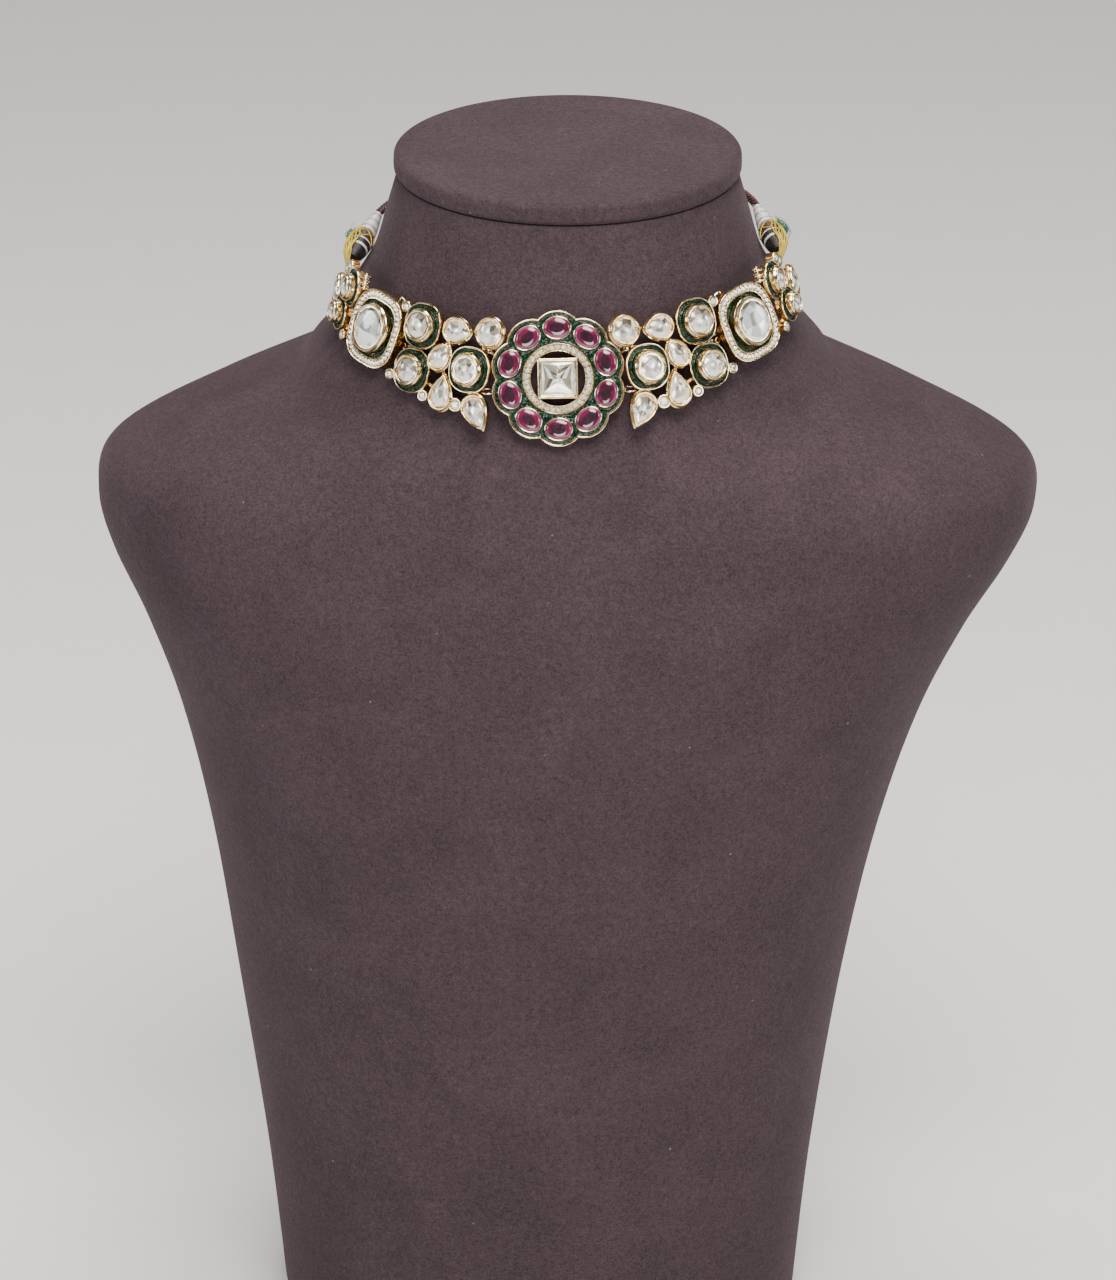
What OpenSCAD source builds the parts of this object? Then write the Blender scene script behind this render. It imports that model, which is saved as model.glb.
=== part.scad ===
// A kundan choker on the padded neck bust that displays it.
// The origin is under the neck's axis, in the plane of the foot, +Z up, with the medallion facing -Y.
// Each panel is drawn flat, X along the choker, Y up and Z outward, and is then hung at its seat.

/* [Neck bust] */
// Height of the bust from its foot to the top of its cap
bust_h = 345; // [300:1:400]
// Width across the shoulders
shoulder_w = 256; // [220:1:290]
// Width of the neck where the choker lies
neck_w = 116; // [108:1:126]
// Length of the neck, from the seam under the cap to where the shoulders start
neck_l = 56; // [52:0.5:62]
// Width of the foot
foot_w = 148; // [120:1:190]
// How far the foot stands to the left of the neck
foot_shift = 8; // [0:0.5:12]
// Width of the cap
cap_w = 93; // [80:1:100]
// Thickness of the cap
cap_t = 6; // [4:0.5:9]
// Radius of the cap's rounded edge
cap_round = 1.8; // [0.5:0.1:1.9]
// Depth of the seam between cap and neck
seam_t = 0.3; // [0.2:0.1:1]

/* [Choker] */
// How far the line where the panels are joined lies above the lower end of the neck
choker_rise = 23.8; // [22:0.2:26]
// Gap between the neck and the back of the medallion
neck_gap = 0.6; // [0.4:0.1:2]
// Gap between the neck and the joints of the panels
joint_gap = 2; // [1.6:0.1:4]
// How much further out the joints of the end panels stand
end_flare = 1.6; // [0.5:0.1:3]
// How much higher the choker hangs on its right, in degrees
choker_tilt = 2; // [0:0.25:2.5]
// Lean of the medallion and the wings, in degrees
front_lean = 20; // [16:0.5:24]
// Lean of the plaques, in degrees
plaque_lean = 22; // [18:0.5:26]
// Lean of the end panels, in degrees
end_lean = 15; // [11:0.5:19]
// Turn of the plaques in their own plane, in degrees
plaque_roll = 6; // [0:0.5:10]
// Turn of an end panel's outer facet against its inner one, in degrees
end_bend = 13.5; // [8:0.5:16]

/* [Metal] */
// Wall round each stone
wall = 0.55; // [0.45:0.05:0.7]
// Height of the narrow back of each cup
back_h = 1.6; // [1.4:0.1:1.8]
// How far the narrow back stands in from the cup's wall
back_inset = 0.8; // [0.6:0.1:1]
// Height of a plain cup's rim
cup_h = 3.4; // [3:0.1:4]
// Height of an enamelled tray's rim
tray_h = 2.6; // [2.3:0.1:2.9]
// Height of the raised collet in a tray
collet_h = 5; // [4:0.1:5.6]
// Height of a small accent cup
accent_h = 2.5; // [2.2:0.1:3]
// Depth of an accent's seat below its rim
accent_depth = 0.9; // [0.6:0.1:1]
// Depth of a cup's seat below its rim
seat_depth = 1.3; // [1:0.1:1.4]
// Thickness of the enamel
enamel_t = 0.6; // [0.4:0.1:0.7]
// Thickness of a rim round enamel
halo_rim = 0.45; // [0.35:0.05:0.6]
// Width of the bars between the cups
bar_w = 1.3; // [1:0.1:1.8]
// Thickness of the bars between the cups
bar_t = 1.2; // [0.8:0.1:1.3]

/* [Stones] */
// Gap between a stone or the enamel and the metal round it
stone_gap = 0.12; // [0.1:0.01:0.16]
// Height of a stone's table above its rim
table_rise = 0.5; // [0.3:0.1:0.9]
// Size of the stones in the raised collets of the wings
halo_stone = 7.6; // [7:0.1:7.9]
// Width of the enamel ring round a raised collet
halo_band = 1.2; // [1:0.05:1.3]
// Width of a small pave stone
pave_d = 1.3; // [1.1:0.05:1.35]
// Depth of the channel that the pave stones lie in
pave_depth = 0.8; // [0.6:0.1:1]

/* [Medallion] */
// Distance from the centre of the medallion to the centre of each lobe
lobe_orbit = 11.1; // [10.8:0.05:11.2]
// Radius of each lobe
lobe_r = 6.7; // [6.4:0.05:6.8]
// Distance from the centre of the medallion to each red stone
ruby_orbit = 13.2; // [13.1:0.05:13.3]
// Length of a red stone
ruby_l = 6.2; // [5.8:0.1:6.3]
// Width of a red stone
ruby_w = 4.8; // [4.4:0.1:4.9]
// Inner radius of the pave ring
ring_r = 7.1; // [6.9:0.05:7.2]
// Width of the pave ring
ring_w = 2.15; // [2.1:0.05:2.2]
// Height of the pave ring
ring_h = 3; // [2.8:0.1:3.4]
// Width of the square stone
square_w = 8.8; // [8.6:0.1:9.2]
// Height of the square stone's collet
square_h = 4.2; // [3.8:0.1:4.6]
// How far the medallion's centre hangs below the line of the joints
medallion_hang = 4.6; // [4.2:0.1:5]

/* [Plaque] */
// Width of the plaque
plaque_w = 19.8; // [19.4:0.1:20.4]
// Width of the plaque's pave border
border_w = 2.5; // [2.4:0.05:2.6]
// Height of the plaque's pave border
border_h = 3.4; // [3:0.1:3.8]
// Width of the plaque's stone
plaque_stone_w = 11.9; // [11:0.1:12.2]
// Height of the collet of the plaque's stone
plaque_collet_h = 5.7; // [4.8:0.1:6.4]

/* [Links] */
// Thickness of the ring wire
wire_d = 0.45; // [0.4:0.05:0.5]
// Distance from the middle of a joint to the hole in each eye
eye_reach = 1.15; // [1.1:0.05:1.25]
// Hole in an eye
eye_bore = 1.1; // [1.05:0.05:1.2]
// Metal round the hole in an eye
eye_wall = 0.3; // [0.25:0.05:0.35]
// Thickness of an eye
eye_t = 0.7; // [0.6:0.05:0.8]

/* [Cord] */
// Thickness of the cord behind the neck
cord_d = 2.4; // [2:0.1:3]
// Gap between the neck and the cord
cord_gap = 1.2; // [1:0.1:2]
// How far the cord lies above the line of the panels' joints
cord_rise = 17; // [15.5:0.5:18.5]
// Thickness of the wound thread ball
ball_d = 6.4; // [5.4:0.1:6.8]
// Length of the wound thread ball
ball_l = 11; // [9.6:0.1:11.6]
// How far the middle of the ball lies above the line of the panels' joints
ball_rise = 12.5; // [11:0.5:13.5]
// Thickness of the thread between the ball and the end panel
thread_d = 1; // [0.8:0.1:1.2]
// Thickness of the slider that closes the cord
slider_d = 4.6; // [4:0.1:6]
// Length of the slider that closes the cord
slider_l = 9; // [6:0.5:12]

/* [Hidden] */
SIDES = ["l", "r"];
UNITS = [1, 2, 3, 4, 5, 6, 7, 8];
LOBES = 10;
PANELS = ["wing_frame", "wing_enamel", "wing_accents", "plaque_frame", "plaque_enamel", "plaque_pave",
          "plaque_stone", "end_frame", "end_enamel", "end_stones", "thread_ball", "zari_cone"];

// Colours
VELVET = "#5b4848";
GOLD = "#d8b574";
ENAMEL = "#0f4a2c";
CLEAR = "#e6e6e2";
RUBY = "#a3245a";
MAROON = "#561c22";
ZARI = "#d9d3cf";
THREAD = "#c9b04a";

function ruby_name(i) = str("ruby_", i < 10 ? "0" : "", i);

// Bust sections from the cap down to the foot: place down the neck as a share of its length, or
// 1 and more as a share of the rest below it, which of the sizes the section follows, then half
// width, front depth and back depth as shares of that size, and the share of the foot's shift
SIZES = [cap_w, neck_w, shoulder_w, foot_w];
BUST_ROWS = [
    [0.000, 0, 0.490, 0.490, 0.490, 0],
    [0.195, 1, 0.420, 0.420, 0.420, 0],
    [0.400, 1, 0.450, 0.458, 0.450, 0],
    [0.580, 1, 0.500, 0.500, 0.495, 0],
    [0.740, 1, 0.546, 0.520, 0.515, 0],
    [0.865, 1, 0.596, 0.543, 0.538, 0],
    [1.000, 1, 0.660, 0.578, 0.552, 0],
    [1.035, 2, 0.395, 0.276, 0.252, 0],
    [1.078, 2, 0.486, 0.290, 0.250, 0],
    [1.123, 2, 0.500, 0.302, 0.246, 0.05],
    [1.173, 2, 0.483, 0.312, 0.240, 0.2],
    [1.245, 2, 0.442, 0.316, 0.230, 0.4],
    [1.341, 2, 0.400, 0.312, 0.220, 0.6],
    [1.473, 2, 0.363, 0.298, 0.206, 0.8],
    [1.640, 2, 0.332, 0.272, 0.194, 0.97],
    [1.832, 3, 0.525, 0.430, 0.330, 1],
    [2.000, 3, 0.495, 0.390, 0.320, 1]];
// Points in a bust section
BUST_POINTS = 40;
// Sections between two rows
ROW_STEPS = 2;

// Units of a wing, on its inner facet (0) or its outer one (1): facet, along, up, stone width,
// stone height, turn, point, and the bulge of the enamelled tray round it: 0 is none, 2 an oval
WING_UNITS = [
    [0, -0.2, 7.6, 7.6, 7.6, 0, 0, 0],
    [0, 9.5, 6.6, 6.6, 7.8, 90, 0.4, 0],
    [1, 3.9, 6.0, halo_stone, halo_stone, 0, 0, 2.4],
    [0, 4.5, -2.9, halo_stone, halo_stone, 0, 0, 2.4],
    [0, 13.6, -0.9, 5.6, 7.2, 28, 0.25, 0],
    [1, 4.8, -6.1, halo_stone - 0.3, halo_stone - 0.3, 0, 0, 2.4],
    [0, 0.6, -13.6, 6.5, 9.0, 144, 0.8, 0],
    [0, 11.8, -10.0, 6.2, 8.7, 4, 0.9, 0]];
// Small round stones of a wing: facet, along, up, width
ACCENTS = [
    [0, 7.3, -12.6, 2.6],
    [0, 17.5, -11.8, 1.9],
    [1, 12.0, -8.5, 1.8],
    [1, 10.6, 9.8, 1.9]];
// Bars of a wing: facet, then along and up of both ends
WING_BARS = [
    [0, -0.2, 7.6, 9.5, 6.6],
    [0, 9.5, 6.6, 18.9, 6.2],
    [0, -0.2, 7.6, 4.5, -2.9],
    [0, 9.5, 6.6, 13.6, -0.9],
    [0, 4.5, -2.9, 13.6, -0.9],
    [0, 13.6, -0.9, 19.4, -3.6],
    [0, 4.5, -2.9, 0.6, -13.6],
    [0, 13.6, -0.9, 11.8, -10.0],
    [0, 0.6, -13.6, 11.8, -12.4],
    [0, 11.8, -10.8, 19.4, -7.4],
    [0, 11.8, -12, 17.5, -11.8],
    [1, 3.9, 6.0, 4.8, -6.1],
    [1, 4.8, -6.1, 12, -8.5],
    [1, 3.9, 6.0, 10.6, 9.8]];

// The same three tables for an end panel
END_UNITS = [
    [0, 2.9, 9.0, 5.0, 6.0, 0, 0, 2],
    [0, 7.9, 0.5, 4.4, 5.2, 0, 0, 2],
    [1, 6.4, 4.0, 5.8, 8.0, -12, 0.3, 0]];
END_ACCENTS = [
    [0, 7.4, 13.6, 1.8],
    [0, 9.0, 12.3, 1.8],
    [0, 8.7, 7.4, 1.6],
    [0, 3.4, -4.4, 1.7]];
END_BARS = [
    [0, 2.9, 9.0, 7.4, 13.6],
    [0, 7.4, 13.6, 9.0, 12.3],
    [0, 2.9, 9.0, 8.7, 7.4],
    [0, 7.9, 0.5, 8.7, 7.4],
    [0, 2.9, 9.0, 7.9, 0.5],
    [0, 7.9, 0.5, 3.4, -4.4],
    [0, 8.7, 7.4, 13.8, 6.4],
    [0, 7.9, 0.5, 12.7, 1.6],
    [1, 6.4, 4.0, 3.4, 10.3]];

// Joints between the panels: height of each of its two rings
WING_JOINT = [2.6, -7.85];
PLAQUE_JOINT = [1.55, -0.8];
END_JOINT = [1.2, -2.8];

// Lengths of the panels between their joints
MEDALLION_REACH = 17.8;
WING_INNER = 16.9;
WING_OUTER = 9;
PLAQUE_SPAN = plaque_w + 2.8;
END_INNER = 9;

// Levels, measured outward from the back of a panel
tray_floor = back_h - 0.1;
collet_seat = collet_h - seat_depth;
cup_seat = cup_h - seat_depth;
accent_seat = accent_h - accent_depth;
pave_seat = pave_depth - stone_gap;
pave_h = 0.95;
ruby_seat = 1.9;
ruby_rim = 3.1;
square_seat = square_h - 1.5;
square_wall = 0.85;
plaque_seat = plaque_collet_h - 1.4;
plaque_floor = back_h + 0.1;
PAVE_RING = 34;
PAVE_PLAQUE = 42;
neck_top = bust_h - cap_t - seam_t;
neck_foot = neck_top - neck_l;
choker_z = neck_foot + choker_rise;
neck_r = neck_w / 2;

// Joints round the neck, as distances from the axis and then as points in plan
joint_r = neck_r + joint_gap;
JOINT_R = [norm([MEDALLION_REACH, neck_r + neck_gap]), joint_r, joint_r,
           joint_r + end_flare, joint_r + end_flare];
SPANS = [WING_INNER, WING_OUTER, PLAQUE_SPAN, END_INNER];

function corner_angle(a, b, span) = acos((a * a + b * b - span * span) / (2 * a * b));
ANGLES = [for (i = 0, turn = atan2(MEDALLION_REACH, neck_r + neck_gap); i < len(JOINT_R);
               turn = turn + (i < len(SPANS) ? corner_angle(JOINT_R[i], JOINT_R[i + 1], SPANS[i]) : 0),
               i = i + 1) turn];
JOINTS = [for (i = [0 : len(JOINT_R) - 1])
          [JOINT_R[i] * sin(ANGLES[i]), -JOINT_R[i] * cos(ANGLES[i]), choker_z]];
function heading(i) = atan2(JOINTS[i + 1].y - JOINTS[i].y, JOINTS[i + 1].x - JOINTS[i].x);

// A seat is the point that a panel hangs at, its turn round the neck, its lean and its roll
MEDALLION_SEAT = [[0, -neck_r - neck_gap, choker_z], 0, front_lean, 0];
WING_SEATS = [[JOINTS[0], heading(0), front_lean, 0], [JOINTS[1], heading(1), front_lean, 0]];
PLAQUE_SEAT = [JOINTS[2], heading(2), plaque_lean, plaque_roll];
END_SEATS = [[JOINTS[3], heading(3), end_lean, 0], [JOINTS[4], heading(3) + end_bend, end_lean, 0]];

function turn_x(p, a) = [p.x, p.y * cos(a) - p.z * sin(a), p.y * sin(a) + p.z * cos(a)];
function turn_z(p, a) = [p.x * cos(a) - p.y * sin(a), p.x * sin(a) + p.y * cos(a), p.z];
function hung(seat, p) = seat[0] + turn_z(turn_x(turn_z(p, seat[3]), 90 - seat[2]), seat[1]);
function direction(v) = v / norm(v);
function mix(a, b, t) = a + (b - a) * t;

module hang(seat) {
    translate(seat[0]) rotate([0, 0, seat[1]]) rotate([90 - seat[2], 0, 0]) rotate([0, 0, seat[3]])
        children();
}

// The whole choker is tilted about the middle of its joint line
module tilted() {
    translate([0, 0, choker_z]) rotate([0, -choker_tilt, 0]) translate([0, 0, -choker_z]) children();
}

module on_side(side) {
    tilted() mirror([side == "l" ? 1 : 0, 0, 0]) children();
}

// Closed skin over rings of points, with flat ends or joined up into a loop
module skin(rings, loop = false) {
    n = len(rings[0]);
    m = len(rings);
    function index(i, j) = (i % m) * n + j % n;
    sides = [for (i = [0 : m - (loop ? 1 : 2)], j = [0 : n - 1])
             each [[index(i, j), index(i + 1, j), index(i + 1, j + 1)],
                   [index(i, j), index(i + 1, j + 1), index(i, j + 1)]]];
    ends = [[for (j = [0 : n - 1]) j], [for (j = [n - 1 : -1 : 0]) (m - 1) * n + j]];
    polyhedron([for (ring = rings, p = ring) p], loop ? sides : concat(sides, ends), convexity = 6);
}

// Wire or cord along points that lie in one plane, whose normal is given
module sweep(path, normal, d, sides, loop = false) {
    n = len(path);
    function ahead(i) = loop ? path[(i + 1) % n] : path[min(i + 1, n - 1)];
    function behind(i) = loop ? path[(i + n - 1) % n] : path[max(i - 1, 0)];
    skin([for (i = [0 : n - 1])
          let (out = cross(normal, direction(ahead(i) - behind(i))))
          [for (j = [0 : sides - 1]) let (a = j * 360 / sides)
           path[i] + d / 2 * (cos(a) * out + sin(a) * normal)]], loop);
}

// Outline with one rounded point at the top: 0 is an oval, 1 a drop
function drop_shape(w, h, point, n) =
    let (widest = point > 0 ? 1 - 0.23 * point : 1)
    [for (i = [0 : n - 1]) let (t = i * 360 / n, k = abs(sin(t / 2)))
     [-w / 2 * sin(t) * pow(k, point) / widest, h / 2 * cos(t)]];

// Outline of a square with bulging sides
function cushion(w, n = 64, bulge = 3) =
    [for (i = [0 : n - 1]) let (t = i * 360 / n)
     w / 2 * pow(pow(abs(cos(t)), bulge) + pow(abs(sin(t)), bulge), -1 / bulge) * [cos(t), sin(t)]];

// Outline of a tray: the same kind, but as wide and high as its unit asks
module tray_outline(unit, by) {
    polygon([for (p = cushion(1, 48, unit[7])) [(unit[3] + 2 * by) * p.x, (unit[4] + 2 * by) * p.y]]);
}

module outline(w, h, point) {
    if (w == h && point == 0) circle(d = w, $fn = 48);
    else polygon(drop_shape(w, h, point, 32));
}

// Room that a drop's tip needs beyond the same wall at its sides
function tip_room(point) = 0.5 * point;

module grown(w, h, point, by) {
    outline(w + 2 * by, h + 2 * by * (1 + tip_room(point)), point);
}

// Cut stone: girdle, crown of staggered facets and flat table
module cut_stone(w, h, point, base, top, n = 12) {
    half_step = 180 / n;
    levels = [[0, 1, 0], [0.4, 1, 0], [0.75, 0.8, 1], [1, 0.52, 0]];
    function at(level) = rotate_points(drop_shape(w * level[1], h * level[1], point * level[1], 2 * n),
                                       level[2], n);
    skin([for (level = levels) [for (p = at(level)) [p.x, p.y, base + level[0] * (top - base)]]]);
}

// Every second point of an outline, started at the first or at the next
function rotate_points(points, start, n) = [for (i = [0 : n - 1]) points[2 * i + start]];

module flat_bar(bar) {
    from = [bar[1], bar[2]];
    to = [bar[3], bar[4]];
    run = to - from;
    translate([from.x, from.y, 0.2]) rotate([0, 0, atan2(run.y, run.x)])
        translate([0, -bar_w / 2, 0]) cube([norm(run), bar_w, bar_t]);
}

// Cup of a stone with its narrow back
module cup(w, h, point, rim) {
    side = wall + stone_gap;
    linear_extrude(rim - 0.2) grown(w, h, point, side - back_inset);
    translate([0, 0, back_h]) linear_extrude(rim - back_h) grown(w, h, point, side);
}

module cup_seat(w, h, point, seat) {
    translate([0, 0, seat]) linear_extrude(4) grown(w, h, point, stone_gap);
}

// Tray round a raised collet
module tray(unit) {
    reach = wall + stone_gap + halo_band + halo_rim;
    linear_extrude(tray_floor + 0.05) tray_outline(unit, reach - back_inset);
    difference() {
        translate([0, 0, back_h - 0.15]) linear_extrude(tray_h - back_h + 0.15) tray_outline(unit, reach);
        translate([0, 0, tray_floor + 0.15]) linear_extrude(tray_h) tray_outline(unit, reach - halo_rim);
    }
}

module place_unit(unit) {
    translate([unit[1], unit[2], 0]) rotate([0, 0, unit[5]]) children();
}

module unit_body(unit) {
    place_unit(unit) {
        if (unit[7] > 0) tray(unit);
        cup(unit[3], unit[4], unit[6], unit[7] > 0 ? collet_h : cup_h);
    }
}

module unit_seat(unit) {
    place_unit(unit) cup_seat(unit[3], unit[4], unit[6], unit[7] > 0 ? collet_seat : cup_seat);
}

module unit_stone(unit) {
    rim = unit[7] > 0 ? collet_h : cup_h;
    place_unit(unit) cut_stone(unit[3], unit[4], unit[6], rim - seat_depth + stone_gap, rim + table_rise);
}

module unit_enamel(unit) {
    inner = wall + 2 * stone_gap;
    floor_z = tray_floor + 0.15 + stone_gap;
    place_unit(unit) translate([0, 0, floor_z]) linear_extrude(enamel_t) difference() {
        tray_outline(unit, inner + halo_band - 2 * stone_gap);
        grown(unit[3], unit[4], 0, inner);
    }
}

module accent_body(accent) {
    translate([accent[1], accent[2], 0])
        cylinder(d = accent[3] + 2 * (wall + stone_gap), h = accent_h, $fn = 32);
}

module accent_hole(accent) {
    translate([accent[1], accent[2], accent_seat])
        cylinder(d = accent[3] + 2 * stone_gap, h = 3, $fn = 32);
}

module accent_stone(accent) {
    base = accent_seat + stone_gap;
    translate([accent[1], accent[2], base])
        cylinder(d1 = accent[3], d2 = accent[3] * 0.55, h = accent_h - base + 0.3, $fn = 8);
}

// Panel made of two facets: units, accents and bars
module panel_frame(seats, units, accents, bars) {
    difference() {
        for (facet = [0, 1]) hang(seats[facet]) {
            for (unit = units) if (unit[0] == facet) unit_body(unit);
            for (accent = accents) if (accent[0] == facet) accent_body(accent);
            for (bar = bars) if (bar[0] == facet) flat_bar(bar);
        }
        for (facet = [0, 1]) hang(seats[facet]) {
            for (unit = units) if (unit[0] == facet) unit_seat(unit);
            for (accent = accents) if (accent[0] == facet) accent_hole(accent);
        }
    }
}

// Eye of a link: a flat tab from the joint into the panel, whose inner end lies in its metal
module eye(along, up, into) {
    difference() {
        union() {
            translate([along, up, 0]) cylinder(d = eye_bore + 2 * eye_wall, h = eye_t, $fn = 24);
            translate([along, up - eye_bore / 2, 0]) rotate([0, into < 0 ? 180 : 0, 0])
                translate([0, 0, into < 0 ? -eye_t : 0]) cube([abs(into), eye_bore, eye_t]);
        }
        translate([along, up, -1]) cylinder(d = eye_bore, h = eye_t + 2, $fn = 24);
    }
}

module lobed(grow) {
    circle(r = lobe_orbit + grow, $fn = 60);
    for (i = [1 : LOBES]) rotate([0, 0, i * 360 / LOBES])
        translate([0, lobe_orbit]) circle(r = lobe_r + grow, $fn = 60);
}

module at_rubies() {
    for (i = [1 : LOBES]) rotate([0, 0, (1 - i) * 360 / LOBES]) translate([0, ruby_orbit]) children();
}

module ruby_outline(by) {
    grown(ruby_l, ruby_w, 0, by);
}

// The medallion's own frame, whose centre hangs below the line of the joints
module in_medallion() {
    tilted() hang(MEDALLION_SEAT) translate([0, -medallion_hang, 0]) children();
}

module medallion_frame() {
    color(GOLD) {
        in_medallion() {
            difference() {
                union() {
                    linear_extrude(back_h + 0.1) lobed(-back_inset);
                    translate([0, 0, back_h - 0.3]) linear_extrude(0.4) lobed(0);
                    translate([0, 0, back_h]) linear_extrude(tray_h - back_h) difference() {
                        lobed(0);
                        lobed(-wall);
                    }
                    translate([0, 0, back_h]) linear_extrude(ruby_rim - back_h)
                        at_rubies() ruby_outline(wall + stone_gap);
                    translate([0, 0, back_h]) cylinder(r = ring_r + ring_w, h = ring_h - back_h, $fn = 96);
                }
                translate([0, 0, -1]) cylinder(r = ring_r, h = 9, $fn = 96);
                translate([0, 0, ruby_seat]) linear_extrude(4) at_rubies() ruby_outline(stone_gap);
                translate([0, 0, ring_h - pave_depth]) difference() {
                    cylinder(r = ring_r + ring_w - 0.3, h = 4, $fn = 96);
                    translate([0, 0, -1]) cylinder(r = ring_r + 0.3, h = 6, $fn = 96);
                }
            }
            difference() {
                translate([0, 0, square_h / 2])
                    cube([square_w + 2 * square_wall, square_w + 2 * square_wall, square_h], center = true);
                translate([0, 0, square_seat + 2])
                    cube([square_w + 2 * stone_gap, square_w + 2 * stone_gap, 4], center = true);
            }
        }
        for (turn = [0, 1]) tilted() mirror([turn, 0, 0]) hang(MEDALLION_SEAT)
            for (up = WING_JOINT) eye(MEDALLION_REACH - eye_reach, up, -3);
    }
}

module medallion_enamel() {
    color(ENAMEL) in_medallion() translate([0, 0, back_h + 0.1 + stone_gap])
        linear_extrude(enamel_t) difference() {
            lobed(-wall - stone_gap);
            at_rubies() ruby_outline(wall + 2 * stone_gap);
            circle(r = ring_r + ring_w + stone_gap, $fn = 96);
        }
}

module pave_stone(top) {
    translate([0, 0, top - pave_seat]) cylinder(d1 = pave_d, d2 = pave_d * 0.6, h = pave_h, $fn = 8);
}

module medallion_pave() {
    color(CLEAR) in_medallion() for (i = [1 : PAVE_RING]) rotate([0, 0, i * 360 / PAVE_RING])
        translate([0, ring_r + ring_w / 2, 0]) pave_stone(ring_h);
}

// Square stone: height above its seat and share of its width at each level
module medallion_stone() {
    levels = [[stone_gap, 1], [0.75, 1], [1.55, 0.78], [1.9, 0.5]];
    color(CLEAR) in_medallion()
        skin([for (level = levels) [for (p = square_points(square_w * level[1]))
                                    [p.x, p.y, square_seat + level[0]]]]);
}

// Square outline whose sides are drawn in a little at their middles
SQUARE = [[0.985, 0], [1, 1], [0, 0.985], [-1, 1], [-0.985, 0], [-1, -1], [0, -0.985], [1, -1]];
function square_points(w) = [for (p = SQUARE) w / 2 * p];

module ruby(i) {
    color(RUBY) in_medallion() rotate([0, 0, (1 - i) * 360 / LOBES]) translate([0, ruby_orbit, 0])
        cut_stone(ruby_l, ruby_w, 0, ruby_seat + stone_gap, ruby_rim + 0.4, 10);
}

module wing_frame() {
    color(GOLD) {
        panel_frame(WING_SEATS, WING_UNITS, ACCENTS, WING_BARS);
        hang(WING_SEATS[0]) for (up = WING_JOINT) eye(eye_reach, up, 3);
        hang(WING_SEATS[1]) for (up = PLAQUE_JOINT) eye(WING_OUTER - eye_reach, up, -3);
    }
}

module wing_enamel() {
    color(ENAMEL) for (unit = WING_UNITS) if (unit[7] > 0) hang(WING_SEATS[unit[0]]) unit_enamel(unit);
}

module wing_accents() {
    color(CLEAR) for (accent = ACCENTS) hang(WING_SEATS[accent[0]]) accent_stone(accent);
}

module kundan(i) {
    unit = WING_UNITS[i - 1];
    color(CLEAR) hang(WING_SEATS[unit[0]]) unit_stone(unit);
}

// Height in the rolled plaque that lies level with a height in the end panel
function unrolled(up) = (up - (PLAQUE_SPAN - eye_reach) * sin(plaque_roll)) / cos(plaque_roll);

module in_plaque() {
    hang(PLAQUE_SEAT) translate([PLAQUE_SPAN / 2 + 0.5, -0.2, 0]) children();
}

module plaque_frame() {
    color(GOLD) {
        in_plaque() difference() {
            union() {
                linear_extrude(back_h + 0.1) polygon(cushion(plaque_w - 2 * back_inset));
                translate([0, 0, back_h - 0.3]) linear_extrude(border_h - back_h + 0.3)
                    polygon(cushion(plaque_w));
            }
            translate([0, 0, plaque_floor]) linear_extrude(4) polygon(cushion(plaque_w - 2 * border_w));
            translate([0, 0, border_h - pave_depth]) linear_extrude(4) difference() {
                polygon(cushion(plaque_w - 0.7));
                polygon(cushion(plaque_w - 2 * border_w + 0.7));
            }
        }
        in_plaque() difference() {
            cylinder(d = plaque_stone_w + 2 * (wall + stone_gap), h = plaque_collet_h, $fn = 64);
            translate([0, 0, plaque_seat]) cylinder(d = plaque_stone_w + 2 * stone_gap, h = 4, $fn = 64);
        }
        hang(PLAQUE_SEAT) for (up = PLAQUE_JOINT) eye(eye_reach, up, 3);
        hang(PLAQUE_SEAT) for (up = END_JOINT) eye(PLAQUE_SPAN - eye_reach, unrolled(up), -3);
    }
}

module plaque_enamel() {
    color(ENAMEL) in_plaque() translate([0, 0, plaque_floor + stone_gap])
        linear_extrude(enamel_t) difference() {
            polygon(cushion(plaque_w - 2 * border_w - 2 * stone_gap));
            circle(d = plaque_stone_w + 2 * wall + 4 * stone_gap, $fn = 64);
        }
}

// Distances of the points of an outline along it, and the point at a given distance
function step_length(path, i) = norm(path[(i + 1) % len(path)] - path[i % len(path)]);
function marks(path) =
    [for (i = 0, run = 0; i <= len(path); run = run + step_length(path, i), i = i + 1) run];
function point_along(path, at, run) =
    let (i = len([for (mark = at) if (mark <= run) 1]) - 1)
    mix(path[i], path[(i + 1) % len(path)], (run - at[i]) / (at[i + 1] - at[i]));

module plaque_pave() {
    path = cushion(plaque_w - border_w);
    at = marks(path);
    color(CLEAR) in_plaque() for (i = [0 : PAVE_PLAQUE - 1])
        translate(point_along(path, at, at[len(path)] * i / PAVE_PLAQUE)) pave_stone(border_h);
}

module plaque_stone() {
    color(CLEAR) in_plaque()
        cut_stone(plaque_stone_w, plaque_stone_w, 0, plaque_seat + stone_gap, plaque_collet_h + 0.9, 16);
}

// Eye for the thread, on the outer facet: along, up
THREAD_EYE = [3.4, 11.6];
thread_bore = thread_d + 0.9;

module end_frame() {
    color(GOLD) {
        panel_frame(END_SEATS, END_UNITS, END_ACCENTS, END_BARS);
        hang(END_SEATS[0]) for (up = END_JOINT) eye(eye_reach, up, 4);
        hang(END_SEATS[1]) translate([THREAD_EYE.x, THREAD_EYE.y, 0]) difference() {
            cylinder(d = thread_bore + 2 * eye_wall, h = eye_t, $fn = 24);
            translate([0, 0, -1]) cylinder(d = thread_bore, h = 3, $fn = 24);
        }
    }
}

module end_enamel() {
    color(ENAMEL) for (unit = END_UNITS) if (unit[7] > 0) hang(END_SEATS[unit[0]]) unit_enamel(unit);
}

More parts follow.
